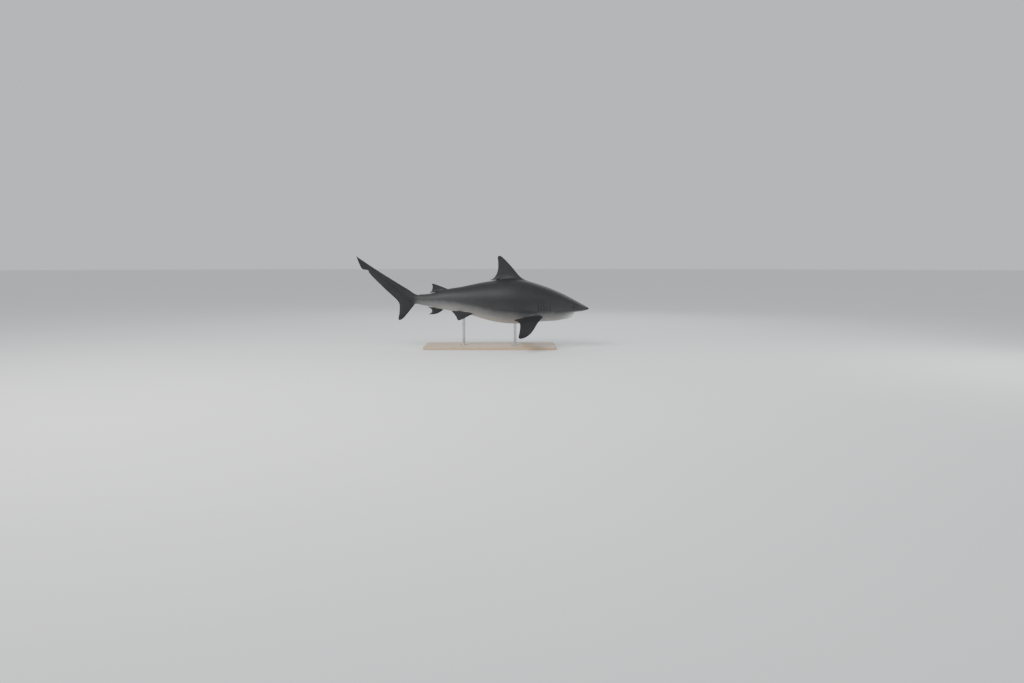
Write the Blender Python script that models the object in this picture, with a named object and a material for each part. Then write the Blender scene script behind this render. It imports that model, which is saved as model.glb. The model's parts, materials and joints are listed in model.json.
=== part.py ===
"""Bull shark (Carcharhinus leucas), adult female, life size, swimming level on a plain display stand.

Everything is worked out in percent of total length, in a straight frame whose x axis runs from the tail to the
snout tip (x = -s, with s measured back from the snout tip), y to the animal's left and z up. place() then bends
that frame into the swimming curve, tips it nose down and sets it over the base, in metres.
"""
import math

import bpy
import bmesh
import numpy as np

# ---- driving dimensions -------------------------------------------------------------------------------------
TOTAL_LENGTH = 2.40                    # snout tip to the tip of the upper tail lobe laid straight, metres
PCT = TOTAL_LENGTH / 100               # one percent of it
NOSE_DOWN = math.radians(3.28)
SNOUT_HEIGHT = 0.385                   # snout tip above the floor
SWIM_HEAD, SWIM_TAIL = 0.55, 3.3       # sideways swing at the head and, on top of that, at the tail, percent
SWIM_WAVE, SWIM_PHASE = 110.0, -0.94   # wavelength in percent of total length, and phase in radians
GAP = 0.0003                           # parting cut between neighbouring pieces, metres

RING = 36                              # facets around the body
HEAD_END, TRUNK_END, TAIL_END = 22.6, 54.8, 71.6

MOUTH_FRONT, MOUTH_CORNER, MOUTH_HALF = 6.0, 10.6, 4.9
JAW_END = 14.2
EYE_STATION, EYE_RADIUS, EYE_PROUD = 6.75, 0.68, 0.17
GILL_STATIONS = (16.1, 17.35, 18.55, 19.7, 20.8)
GILL_HEIGHTS = (3.0, 3.5, 3.7, 3.5, 2.9)
GILL_MIDDLES = (-1.25, -1.20, -1.10, -0.92, -0.70)
GILL_WIDTH, GILL_DEPTH = 0.13, 0.42

# Landmark, station, back, belly, half width, height of the widest line, fullness of the upper and lower half.
STATIONS = (
    ("snout tip",         0.0,  0.10,  0.10, 0.00, 0.10, 2.30, 2.60),
    ("snout front",       1.2,  1.14, -0.45, 3.38, 0.18, 2.30, 2.60),
    ("nostrils",          2.9,  1.95, -0.98, 4.75, 0.28, 2.30, 2.65),
    ("before the eyes",   4.6,  2.77, -1.34, 5.42, 0.38, 2.28, 2.65),
    ("eyes",              6.6,  3.72, -1.95, 5.84, 0.46, 2.24, 2.60),
    ("mouth corners",    10.0,  5.28, -3.30, 6.35, 0.50, 2.16, 2.50),
    ("jaw end",          13.6,  6.68, -4.95, 6.85, 0.48, 2.10, 2.38),
    ("gills",            18.2,  8.24, -6.12, 7.45, 0.45, 2.06, 2.26),
    ("pectoral",         22.6,  9.40, -6.95, 7.92, 0.50, 2.02, 2.20),
    ("first dorsal",     26.7, 10.35, -7.52, 8.20, 0.68, 2.00, 2.16),
    ("greatest depth",   31.2, 10.78, -7.86, 8.32, 0.90, 2.00, 2.14),
    ("mid trunk",        36.2, 10.20, -7.72, 8.02, 1.02, 2.00, 2.12),
    ("dorsal rear tip",  41.6,  9.14, -6.98, 7.22, 1.02, 2.00, 2.10),
    ("pelvic",           47.4,  7.70, -5.62, 6.02, 0.92, 2.00, 2.06),
    ("behind pelvic",    54.2,  5.90, -4.42, 4.66, 0.70, 2.00, 2.04),
    ("second dorsal",    59.6,  4.62, -3.66, 3.66, 0.45, 2.00, 2.00),
    ("anal rear tip",    65.8,  2.62, -2.74, 2.52, 0.05, 2.00, 2.00),
    ("peduncle",         71.6,  2.02, -1.96, 1.74, 0.03, 2.00, 2.00),
)

# How far the lower jaw hangs below the palate line, along the midline.
JAW_DROP = ((5.0, 1.90), (7.4, 1.95), (9.6, 1.62), (13.0, 0.80), (15.6, 0.30), (18.0, 0.0), (22.0, 0.0))

# Rows of each fin from root to tip: leading edge, then trailing edge. Median fins give station and height over
# the back (or below the belly); paired fins give the distance behind the fin's front root and outward span.
DORSAL_ROWS = (
    ((26.9, 0.08), (38.3, 0.12)), ((27.8, 0.22), (39.9, 0.20)), ((28.5, 0.48), (41.4, 0.36)),
    ((29.1, 0.92), (40.2, 0.78)), ((29.8, 1.60), (39.3, 1.65)), ((31.1, 3.00), (38.6, 3.10)),
    ((32.45, 4.55), (38.35, 4.80)), ((34.0, 6.25), (38.40, 6.60)), ((35.6, 8.00), (38.6, 8.35)),
    ((36.85, 9.22), (38.72, 9.25)), ((37.65, 9.78), (38.6, 9.68)), ((38.25, 9.92), (38.25, 9.92)),
)
SECOND_DORSAL_ROWS = (
    ((58.5, 0.06), (63.4, 0.10)), ((59.1, 0.30), (64.8, 0.16)), ((59.6, 0.62), (66.0, 0.30)),
    ((60.3, 1.10), (65.4, 0.75)), ((61.3, 1.75), (65.05, 1.45)), ((62.4, 2.50), (64.90, 2.40)),
    ((63.5, 3.22), (65.02, 3.20)), ((64.55, 3.78), (65.22, 3.70)), ((65.1, 3.94), (65.1, 3.94)),
)
ANAL_ROWS = (
    ((59.7, 0.06), (63.8, 0.10)), ((60.2, 0.42), (65.2, 0.15)), ((60.6, 0.85), (66.5, 0.28)),
    ((61.1, 1.30), (65.5, 0.66)), ((61.8, 1.85), (64.75, 1.20)), ((62.7, 2.40), (64.65, 1.80)),
    ((63.8, 2.88), (64.95, 2.40)), ((65.0, 3.18), (65.55, 2.95)), ((65.7, 3.22), (65.7, 3.22)),
)
PECTORAL_ROWS = (
    ((0.0, 0.0), (6.9, 0.0)), ((0.2, 0.6), (9.3, 1.2)), ((0.45, 1.3), (11.3, 2.4)),
    ((0.75, 2.2), (10.0, 3.7)), ((1.15, 3.4), (9.2, 4.9)), ((1.75, 5.4), (8.75, 7.2)),
    ((2.42, 8.15), (8.62, 10.0)), ((3.3, 11.9), (8.64, 12.9)), ((4.25, 14.9), (8.75, 15.6)),
    ((5.3, 16.9), (8.8, 17.3)), ((6.5, 18.3), (8.65, 18.4)), ((7.9, 19.1), (7.9, 19.1)),
)
PELVIC_ROWS = (
    ((0.0, 0.0), (5.2, 0.0)), ((0.5, 0.35), (7.2, 0.28)), ((1.0, 0.78), (9.0, 0.58)),
    ((1.7, 1.35), (8.0, 1.40)), ((2.7, 2.15), (7.15, 2.35)), ((3.7, 2.95), (6.70, 3.20)),
    ((4.7, 3.68), (6.45, 3.90)), ((5.75, 4.30), (5.75, 4.30)),
)
# Name, root station, root angle below the widest line, droop and forward-down slope of the blade, in degrees.
PECTORAL = (18.8, 39.0, 22.0, 5.0)
PELVIC = (47.4, 58.0, 48.0, -4.0)

# Tail fin rows, from the peduncle to the upper tip: point on the upper edge, point on the lower or rear edge,
# depth and half width of the muscle along the upper edge, and half thickness of the web.
CAUDAL_ROWS = (
    ((71.6, 2.02), (71.6, -1.96), 3.98, 1.74, 0.45),
    ((72.5, 2.45), (72.6, -3.30), 4.30, 1.58, 0.50),
    ((73.5, 3.10), (74.5, -6.00), 4.40, 1.40, 0.50),
    ((74.5, 3.72), (76.2, -8.15), 4.30, 1.26, 0.46),
    ((75.3, 4.18), (77.4, -8.95), 4.15, 1.17, 0.42),
    ((75.9, 4.50), (78.15, -8.75), 4.00, 1.10, 0.40),
    ((76.7, 4.93), (77.95, -6.60), 3.85, 1.03, 0.38),
    ((77.6, 5.42), (77.90, -4.40), 3.70, 0.98, 0.36),
    ((78.6, 5.97), (78.05, -2.40), 3.50, 0.93, 0.34),
    ((79.8, 6.65), (79.00, -0.85), 3.30, 0.88, 0.32),
    ((82.2, 8.00), (80.9, 0.85), 3.00, 0.80, 0.30),
    ((85.8, 10.05), (83.8, 3.30), 2.60, 0.68, 0.27),
    ((89.6, 12.30), (87.6, 6.75), 2.15, 0.54, 0.24),
    ((91.9, 13.72), (90.65, 9.80), 1.80, 0.44, 0.22),
    ((92.3, 13.96), (91.1, 10.72), 1.75, 0.42, 0.22),
    ((93.8, 14.87), (93.4, 11.15), 1.50, 0.36, 0.20),
    ((95.3, 15.82), (94.9, 13.60), 1.20, 0.28, 0.17),
    ((96.1, 16.40), (96.1, 16.40), 0.80, 0.20, 0.15),
)

BASE_LENGTH, BASE_WIDTH, BASE_THICK, BASE_CORNER, BASE_BEVEL = 1.30, 0.52, 0.026, 0.060, 0.005
ROD_STATIONS, ROD_RADIUS = (30.0, 51.5), 0.014
COLLAR_RADIUS, COLLAR_HEIGHT = 0.036, 0.012

SKIN_DARK = (0.050, 0.053, 0.060, 1)
SKIN_FIN = (0.040, 0.042, 0.047, 1)


# ---- curves -------------------------------------------------------------------------------------------------
def spline(xs, ys):
    """Natural cubic through the points, as a function of an array; straight beyond the ends."""
    xs, ys = np.asarray(xs, float), np.asarray(ys, float)
    n, h = len(xs), np.diff(xs)
    a, r = np.eye(n), np.zeros(n)
    for i in range(1, n - 1):
        a[i, i - 1 : i + 2] = h[i - 1], 2 * (h[i - 1] + h[i]), h[i]
        r[i] = 6 * ((ys[i + 1] - ys[i]) / h[i] - (ys[i] - ys[i - 1]) / h[i - 1])
    m = np.linalg.solve(a, r)

    def value(x):
        x = np.asarray(x, float)
        i = np.clip(np.searchsorted(xs, x) - 1, 0, n - 2)
        t = np.clip(x, xs[0], xs[-1])
        p, q = t - xs[i], xs[i + 1] - t
        return (
            m[i] * q**3 / (6 * h[i])
            + m[i + 1] * p**3 / (6 * h[i])
            + (ys[i] / h[i] - m[i] * h[i] / 6) * q
            + (ys[i + 1] / h[i] - m[i + 1] * h[i] / 6) * p
        )

    return value


def through(points, t):
    """Centripetal Catmull-Rom curve through the points; whole values of t fall on them."""
    p = np.asarray(points, float)
    p = np.vstack([2 * p[0] - p[1], p, 2 * p[-1] - p[-2]])
    out = []
    for one in np.atleast_1d(t):
        i = int(min(max(math.floor(one), 0), len(p) - 4))
        f = one - i
        a, b, c, d = p[i : i + 4]
        k = [0.0]
        for u, v in ((a, b), (b, c), (c, d)):
            k.append(k[-1] + max(float(np.linalg.norm(v - u)), 1e-6) ** 0.5)
        x = k[1] + f * (k[2] - k[1])
        ab = (a * (k[1] - x) + b * (x - k[0])) / (k[1] - k[0])
        bc = (b * (k[2] - x) + c * (x - k[1])) / (k[2] - k[1])
        cd = (c * (k[3] - x) + d * (x - k[2])) / (k[3] - k[2])
        abc = (ab * (k[2] - x) + bc * (x - k[0])) / (k[2] - k[0])
        bcd = (bc * (k[3] - x) + cd * (x - k[1])) / (k[3] - k[1])
        out.append((abc * (k[2] - x) + bcd * (x - k[1])) / (k[2] - k[1]))
    return np.array(out)


ROOT_S = [math.sqrt(row[1]) for row in STATIONS]
profile = [spline(ROOT_S, [row[k] for row in STATIONS]) for k in range(2, 8)]
jaw_drop = spline([row[0] for row in JAW_DROP], [row[1] for row in JAW_DROP])


def at(k, s):
    """Profile k at station s: 0 back, 1 belly, 2 half width, 3 widest line, 4 and 5 fullness."""
    return profile[k](np.sqrt(np.maximum(np.asarray(s, float), 0)))


def power(x, n):
    return np.sign(x) * np.abs(x) ** (2 / n)


def section(s, angle):
    """Point of the body at station s; angle runs from the left side (0) over the back (90 degrees)."""
    s, angle = np.broadcast_arrays(np.asarray(s, float), np.asarray(angle, float))
    c, d = np.cos(angle), np.sin(angle)
    upper = d >= 0
    n = np.where(upper, at(4, s), at(5, s))
    wide = at(3, s)
    reach = np.where(upper, at(0, s) - wide, wide - at(1, s))
    return np.stack([-s, at(2, s) * power(c, n), wide + reach * power(d, n)], -1)


def mouth_line(y):
    """Station of the mouth at a distance y from the midline."""
    return MOUTH_FRONT + (MOUTH_CORNER - MOUTH_FRONT) * (np.abs(y) / MOUTH_HALF) ** 2.2


def with_jaw(points, edge):
    """Lowers the underside by the lower jaw. With edge 0 the jaw starts before the mouth line, for a jaw cut free."""
    p = points.copy()
    s, y = -p[..., 0], p[..., 1]
    behind = s - mouth_line(y)
    side = np.clip(1 - (np.abs(y) / (MOUTH_HALF + 1.0)) ** 2, 0, 1) ** 0.8
    under = np.clip((at(3, s) - p[..., 2]) / (at(3, s) - at(1, s) + 1e-9), 0, 1) ** 1.5
    if edge:
        rise = np.where(s > JAW_END, 1.0, 0.0)
    else:
        rise = 0.42 + 0.58 * (1 - np.exp(-np.clip(behind + 0.2, 0, None) / 1.0))
    p[..., 2] -= jaw_drop(np.clip(s, 5, 22)) * side * under * rise
    return p


# ---- from the straight frame to the world --------------------------------------------------------------------
def swing(s):
    return (SWIM_HEAD + SWIM_TAIL * (s / 100) ** 2) * np.sin(2 * np.pi * s / SWIM_WAVE + SWIM_PHASE)


CENTRE = [0.0, 0.0]


def place(points):
    """Bends, tips and places points given in percent; the result is in metres."""
    p = np.asarray(points, float)
    s = -p[..., 0]
    slope = (swing(s + 0.05) - swing(s - 0.05)) / 0.1
    turn = np.arctan(slope)
    x = -s + p[..., 1] * np.sin(turn)
    y = swing(s) + p[..., 1] * np.cos(turn)
    z = p[..., 2]
    c, d = math.cos(NOSE_DOWN), math.sin(NOSE_DOWN)
    out = np.stack([x * c + z * d, y, -x * d + z * c], -1) * PCT
    return out + np.array([CENTRE[0], CENTRE[1], SNOUT_HEIGHT])


# ---- mesh building --------------------------------------------------------------------------------------------
def material(name, colour, roughness, metallic=0.0):
    m = bpy.data.materials.get(name) or bpy.data.materials.new(name)
    m.use_nodes = True
    shader = m.node_tree.nodes["Principled BSDF"]
    shader.inputs["Base Color"].default_value = colour
    shader.inputs["Roughness"].default_value = roughness
    shader.inputs["Metallic"].default_value = metallic
    m.diffuse_color = colour
    return m


def make(name, points, faces, finish, helper=False, smooth=40.0):
    mesh = bpy.data.meshes.new(name)
    mesh.from_pydata([tuple(p) for p in points], [], faces)
    work = bmesh.new()
    work.from_mesh(mesh)
    bmesh.ops.remove_doubles(work, verts=work.verts, dist=1e-6)
    bmesh.ops.triangulate(work, faces=work.faces)
    bmesh.ops.recalc_face_normals(work, faces=work.faces)
    if work.calc_volume(signed=True) < 0:
        bmesh.ops.reverse_faces(work, faces=work.faces)
    work.to_mesh(mesh)
    work.free()
    mesh.shade_smooth()
    mesh.set_sharp_from_angle(angle=math.radians(smooth))
    obj = bpy.data.objects.new(name, mesh)
    bpy.context.scene.collection.objects.link(obj)
    if finish:
        mesh.materials.append(finish)
    if helper:
        obj.hide_render = True
        obj.display_type = "WIRE"
    return obj


def tube_faces(rows, around):
    """Quads of a tube of rings, and an end face on the first and last ring."""
    faces = []
    for i in range(rows - 1):
        for k in range(around):
            m = (k + 1) % around
            faces.append((i * around + k, i * around + m, (i + 1) * around + m, (i + 1) * around + k))
    faces.append(tuple(range(around)))
    faces.append(tuple((rows - 1) * around + k for k in reversed(range(around))))
    return faces


def body_rings(stations, jaw_edge=True):
    angle = 2 * np.pi * np.arange(RING) / RING
    return with_jaw(section(np.asarray(stations)[:, None], angle[None, :]), jaw_edge)


def stations_between(first, last, step, extra=()):
    count = max(2, int(round((last - first) / step)) + 1)
    inner = [s for s in np.linspace(first, last, count)[1:-1] if all(abs(s - e) > 0.3 * step for e in extra)]
    return sorted([first, last, *inner, *extra])


def body_piece(name, stations, finish, jaw_edge=True, nose=False, **more):
    rings = place(body_rings(stations, jaw_edge))
    rows = len(stations)
    points = rings.reshape(-1, 3)
    faces = tube_faces(rows, RING)
    if nose:
        tip = len(points)
        points = np.vstack([points, place(np.array([[0.0, 0.0, at(0, 0.0)]]))])
        faces = faces[:-2] + [faces[-1]] + [((k + 1) % RING, k, tip) for k in range(RING)]
    return make(name, points, faces, finish, **more)


def grown(obj, name, by=GAP * 1.3):
    """A helper copy of an object, with its surface moved outward."""
    copy = obj.copy()
    copy.data = obj.data.copy()
    copy.name = copy.data.name = name
    copy.modifiers.clear()
    normals = [v.normal.copy() for v in copy.data.vertices]
    for vertex, normal in zip(copy.data.vertices, normals):
        vertex.co += normal * by
    copy.hide_render = True
    copy.display_type = "WIRE"
    bpy.context.scene.collection.objects.link(copy)
    return copy


def cut(obj, cutter, operation="DIFFERENCE"):
    modifier = obj.modifiers.new(cutter.name, "BOOLEAN")
    modifier.operation = operation
    modifier.object = cutter
    modifier.solver = "EXACT"


def chord(cells):
    """Positions across a fin, close together at the round leading edge and a little closer at the thin rear."""
    t = np.linspace(0, 1, cells + 1)
    return 0.62 * t**1.9 + 0.38 * (1 - np.cos(np.pi * t)) / 2


def foil(a):
    """Half thickness of a fin section over its greatest half thickness: round front, thin rear."""
    shape = 0.2969 * np.sqrt(a) - 0.126 * a - 0.3516 * a**2 + 0.2843 * a**3 - 0.1015 * a**4
    return shape / 0.1 / 1.0


def fin_rings(rows, counts, cells, root, tip, flare, reach):
    """Rings of a fin in its own plane as (along, span, half thickness) with a first ring sunk into the body."""
    lead, trail = [r[0] for r in rows], [r[1] for r in rows]
    t = [0.0]
    for i, n in enumerate(counts):
        t += [i + (j + 1) / n for j in range(n)]
    front, rear = through(lead, t), through(trail, t)
    a = chord(cells)
    span = max(r[0][1] for r in rows)
    rings = []
    for f, r in zip(front, rear):
        flat = f[None, :] + (r - f)[None, :] * a[:, None]
        high = np.clip(flat[:, 1] / span, 0, 1)
        half = root + (tip - root) * high**0.8
        length = float(np.linalg.norm(r - f))
        half = half * min(1.0, (length / (0.35 * span)) ** 0.7) * foil(a)
        half *= 1 + flare * np.exp(-flat[:, 1] / reach)
        half = np.maximum(half, 0.03)
        half[0] = half[-1] = 0.0
        rings.append(np.column_stack([flat, half]))
    sunk = rings[0].copy()
    middle = sunk[:, 0].mean()
    sunk[:, 0] = middle + (sunk[:, 0] - middle) * 0.86
    sunk[:, 1] = -1.3
    rings.insert(0, sunk)
    return np.array(rings)


def fin_piece(name, rings, to_body, finish):
    """Closes both faces of a fin around its edges. to_body(along, span, side) gives points in the straight frame."""
    rows, columns = rings.shape[:2]
    loops = []
    for ring in rings[:-1]:
        near = to_body(ring[:, 0], ring[:, 1], ring[:, 2])
        far = to_body(ring[:, 0], ring[:, 1], -ring[:, 2])
        loops.append(np.vstack([near, far[-2:0:-1]]))
    around = len(loops[0])
    points = np.vstack(loops + [to_body(*rings[-1][:1].T)])
    faces = tube_faces(rows - 1, around)[:-1]
    last = (rows - 2) * around
    faces += [(last + k, last + (k + 1) % around, len(points) - 1) for k in range(around)]
    return make(name, place(points), faces, finish, smooth=60.0)


def median_fin(sign):
    """Placing function of a fin on the midline, over the back (1) or under the belly (-1)."""

    def to_body(along, span, side):
        base = at(0, along) if sign > 0 else at(1, along)
        return np.stack([-along, side, base + sign * span], -1)

    return to_body


def paired_fin(sign, station, below, droop, slope):
    """Placing function of a fin on the flank: it leaves a line along the body and lies in one drooping plane."""
    droop, slope = math.radians(droop), math.radians(slope)
    outward = np.array([0.0, sign * math.cos(droop), -math.sin(droop)])
    rearward = np.array([-math.cos(slope), 0.0, -math.sin(slope)])
    normal = np.cross(rearward, outward)
    normal *= math.copysign(1, normal[2]) / np.linalg.norm(normal)
    angle = math.radians(-below if sign > 0 else 180 + below)
    origin = section(station, angle)

    def to_body(along, span, side):
        follow = section(station + along, angle)
        flat = origin + along[:, None] * rearward
        keep = np.clip(1 - span / 3.0, 0, 1)[:, None] ** 2 * 1.0
        root = flat + (follow - flat) * keep
        return root + span[:, None] * outward + side[:, None] * normal

    return to_body


def cylinder(name, centre, radius, low, high, finish, facets=32, bevel=0.0):
    work = bmesh.new()
    bmesh.ops.create_cone(
        work, cap_ends=True, segments=facets, radius1=radius, radius2=radius, depth=high - low
    )
    if bevel:
        rims = [e for e in work.edges if abs(e.verts[0].co.z - e.verts[1].co.z) < 1e-7 and e.verts[0].co.z > 0]
        bmesh.ops.bevel(work, geom=rims, offset=bevel, segments=2, affect="EDGES", profile=0.5)
    bmesh.ops.translate(work, verts=work.verts, vec=(centre[0], centre[1], (low + high) / 2))
    mesh = bpy.data.meshes.new(name)
    work.to_mesh(mesh)
    work.free()
    mesh.shade_smooth()
    mesh.set_sharp_from_angle(angle=math.radians(35))
    mesh.materials.append(finish)
    obj = bpy.data.objects.new(name, mesh)
    bpy.context.scene.collection.objects.link(obj)
    return obj


# ---- the model ------------------------------------------------------------------------------------------------
def clear():
    for obj in list(bpy.data.objects):
        bpy.data.objects.remove(obj, do_unlink=True)


def find_centre():
    """Sets the model's own box centre over the origin, from its outermost pieces."""
    tips = [place(body_rings([0.0, 30.0])).reshape(-1, 3)]
    tips.append(place(np.array([[-row[i][0], 0.0, row[i][1]] for row in CAUDAL_ROWS for i in (0, 1)])))
    for sign in (1, -1):
        rings = fin_rings(PECTORAL_ROWS, PECTORAL_COUNTS, 9, *PECTORAL_THICK)
        to_body = paired_fin(sign, *PECTORAL)
        tips += [place(to_body(r[:, 0], r[:, 1], r[:, 2])) for r in rings]
    tips = np.vstack(tips)
    CENTRE[0] = -(tips[:, 0].min() + tips[:, 0].max()) / 2
    CENTRE[1] = -(tips[:, 1].min() + tips[:, 1].max()) / 2


# Half thickness at the root and the tip, root flare and how far up it fades.
PECTORAL_THICK = (0.78, 0.30, 0.75, 0.9)
DORSAL_THICK = (0.70, 0.28, 0.85, 0.9)
SMALL_THICK = (0.42, 0.20, 0.80, 0.5)
PECTORAL_COUNTS = (1, 1, 1, 1, 1, 2, 2, 1, 1, 1, 1)


def caudal_rings(cells, counts):
    """Rings of the tail fin as (station, height, half thickness), from the peduncle to the tip."""
    t = [0.0]
    for i, n in enumerate(counts):
        t += [i + (j + 1) / n for j in range(n)]
    upper = through([r[0] for r in CAUDAL_ROWS], t)
    lower = through([r[1] for r in CAUDAL_ROWS], t)
    muscle = through([r[2:5] for r in CAUDAL_ROWS], t)
    a = (1 - np.cos(np.pi * np.arange(cells + 1) / cells)) / 2
    rings = []
    for one, up, low, (deep, half, web) in zip(t, upper, lower, muscle):
        flat = up[None, :] + (low - up)[None, :] * a[:, None]
        length = max(float(np.linalg.norm(low - up)), 1e-3)
        down = a * length
        deep = min(deep, length)
        rod = half * np.sqrt(np.clip(1 - ((down - deep / 2) / (deep / 2)) ** 2, 0, 1))
        leading = 1.0 if one <= 5 else 0.0
        blade = web * np.sqrt(np.clip(down / (0.3 * length), 0, 1))
        round_rear = np.sqrt(np.clip((length - down) / (0.16 * length), 0, 1))
        sharp_rear = np.clip((length - down) / (0.75 * length), 0, 1) ** 0.8
        blade = blade * (round_rear if leading else sharp_rear)
        blade = blade * (0.0 if one == 0 else 1.0)
        width = (rod**3 + blade**3) ** (1 / 3)
        width = np.maximum(width, 0.03)
        width[0] = width[-1] = 0.0
        rings.append(np.column_stack([flat, width]))
    return np.array(rings)


def main():
    clear()
    find_centre()
    dark = material("shark_skin", SKIN_DARK, 0.55)
    fins = material("shark_fin_skin", SKIN_FIN, 0.55)
    eye = material("shark_eye", (0.02, 0.022, 0.02, 1), 0.1)
    wood = material("stand_wood", (0.42, 0.30, 0.19, 1), 0.45)
    steel = material("stand_steel", (0.55, 0.56, 0.57, 1), 0.3, 1.0)

    half_gap = GAP / PCT / 2
    nose = [0.05, 0.25, 0.7, 1.3, 2.1, 3.1, 4.2, 5.3]
    front = nose + stations_between(6.3, JAW_END - 0.01, 1.1)
    rear = stations_between(JAW_END + 0.01, HEAD_END - half_gap, 1.4)
    head = body_piece("head", front + rear, dark, nose=True)
    trunk = body_piece("trunk", stations_between(HEAD_END + half_gap, TRUNK_END - half_gap, 2.2), dark)
    tail = body_piece("tail", stations_between(TRUNK_END + half_gap, TAIL_END - half_gap, 2.2), dark)

    # The lower jaw is its own piece: a full-depth copy of the head, kept only inside a block behind the mouth line.
    def jaw_block(name, grow):
        half = np.linspace(-1, 1, 15) * MOUTH_HALF
        line = [(mouth_line(y) - grow, y + math.copysign(grow, y) * (abs(y) > 1)) for y in half]
        corner, side = MOUTH_CORNER - grow + 0.5, 9.5
        outline = [(JAW_END + grow, -side), (corner, -side), *line, (corner, side), (JAW_END + grow, side)]
        lid = [(s, y, -1.15 - (s - MOUTH_FRONT) * 0.235 + grow) for s, y in outline]
        floor = [(s, y, -12.0) for s, y in outline]
        points = np.array([(-s, y, z) for s, y, z in floor + lid])
        n = len(outline)
        faces = [(k, (k + 1) % n, n + (k + 1) % n, n + k) for k in range(n)]
        faces += [tuple(reversed(range(n))), tuple(range(n, 2 * n))]
        return make(name, place(points), faces, None, helper=True)

    jaw_stations = stations_between(4.6, JAW_END + 1.2, 0.75)
    jaw = body_piece("lower_jaw", jaw_stations, dark, jaw_edge=False)
    cut(jaw, jaw_block("cut_jaw", 0.0), "INTERSECT")
    cut(head, jaw_block("cut_mouth", GAP / PCT * 1.6))

    # Eyes: a ball seated in its own hollow, a little proud of the skin.
    for sign, side in ((1, "left"), (-1, "right")):
        angle = math.radians(6.0) if sign > 0 else math.pi - math.radians(6.0)
        here = section(EYE_STATION, angle)
        ahead = section(EYE_STATION - 0.2, angle) - section(EYE_STATION + 0.2, angle)
        above = section(EYE_STATION, angle + 0.04) - section(EYE_STATION, angle - 0.04)
        out = np.cross(ahead, above)
        out *= math.copysign(1, out[1] * sign) / np.linalg.norm(out)
        centre = here - out * (EYE_RADIUS - EYE_PROUD)
        for name, radius, finish in (
            (f"eye_{side}", EYE_RADIUS, eye),
            (f"cut_eye_{side}", EYE_RADIUS + GAP / PCT * 1.5, None),
        ):
            ball = bmesh.new()
            bmesh.ops.create_uvsphere(ball, u_segments=12, v_segments=8, radius=radius)
            shape = np.array([v.co[:] for v in ball.verts]) + centre
            sides = [tuple(v.index for v in f.verts) for f in ball.faces]
            ball.free()
            obj = make(name, place(shape), sides, finish, helper=finish is None, smooth=70.0)
            if finish is None:
                cut(head, obj)

    # Gill slits: five curved blades a side, cut into the flank of the head.
    for sign in (1, -1):
        points, faces = [], []
        for station, high, middle in zip(GILL_STATIONS, GILL_HEIGHTS, GILL_MIDDLES):
            first = len(points)
            steps = 4
            for i in range(steps + 1):
                f = i / steps * 2 - 1
                angle = (f * high / 2 + middle) / 7.2
                lean = station - 0.25 + 0.5 * f * f + 0.12 * f
                around = angle if sign > 0 else math.pi - angle
                p = section(lean, around)
                ahead = section(lean - 0.2, around) - section(lean + 0.2, around)
                above = section(lean, around + 0.03) - section(lean, around - 0.03)
                out = np.cross(ahead, above)
                out *= math.copysign(1, out[1] * sign) / np.linalg.norm(out)
                along = ahead / np.linalg.norm(ahead)
                wide = GILL_WIDTH / 2 * (1 - 0.8 * f * f)
                deep = GILL_DEPTH * (1 - 0.75 * f * f)
                rake = along * 0.35 * deep
                points += [p + out * 0.3 - along * wide, p + out * 0.3 + along * wide]
                points += [p - out * deep + rake + along * wide, p - out * deep + rake - along * wide]
            for i in range(steps):
                a, b = first + 4 * i, first + 4 * i + 4
                faces += [(a + k, a + (k + 1) % 4, b + (k + 1) % 4, b + k) for k in range(4)]
            faces += [tuple(first + k for k in (3, 2, 1, 0)), tuple(first + 4 * steps + k for k in range(4))]
        cut(head, make(f"cut_gills_{'left' if sign > 0 else 'right'}", place(np.array(points)), faces, None, True))

    # Nostrils: a slanting pit on each side of the underside of the snout.
    for sign in (1, -1):
        pit = bmesh.new()
        bmesh.ops.create_uvsphere(pit, u_segments=10, v_segments=6, radius=1.0)
        shape = np.array([v.co[:] for v in pit.verts]) * (0.42, 0.85, 0.35)
        sides = [tuple(v.index for v in f.verts) for f in pit.faces]
        pit.free()
        turn = math.radians(-28) * sign
        c, d = math.cos(turn), math.sin(turn)
        shape = np.column_stack([shape[:, 0] * c - shape[:, 1] * d, shape[:, 0] * d + shape[:, 1] * c, shape[:, 2]])
        where = section(3.3, math.radians(-49) if sign > 0 else math.radians(180 + 49))
        cut(head, make(f"cut_nostril_{'left' if sign > 0 else 'right'}", place(shape + where), sides, None, True))

    # Tail fin, in an upper and a lower lobe parted along the line from the fork to the peduncle.
    counts = (1, 1, 1, 1, 1, 1, 1, 1, 2, 1, 2, 2, 1, 1, 1, 1, 1)
    rings = caudal_rings(9, counts)
    rings[0, :, 0] += half_gap
    loops = []
    for ring in rings[:-1]:
        side = np.column_stack([-ring[:, 0], ring[:, 2], ring[:, 1]])
        loops.append(np.vstack([side, (side * (1, -1, 1))[-2:0:-1]]))
    around = len(loops[0])
    points = np.vstack(loops + [[[-rings[-1, 0, 0], 0.0, rings[-1, 0, 1]]]])
    faces = tube_faces(len(loops), around)[:-1]
    last = (len(loops) - 1) * around
    faces += [(last + k, last + (k + 1) % around, len(points) - 1) for k in range(around)]
    upper = make("caudal_fin_upper", place(points), faces, fins, smooth=60.0)
    lower = make("caudal_fin_lower", place(points), faces, fins, smooth=60.0)

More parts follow.
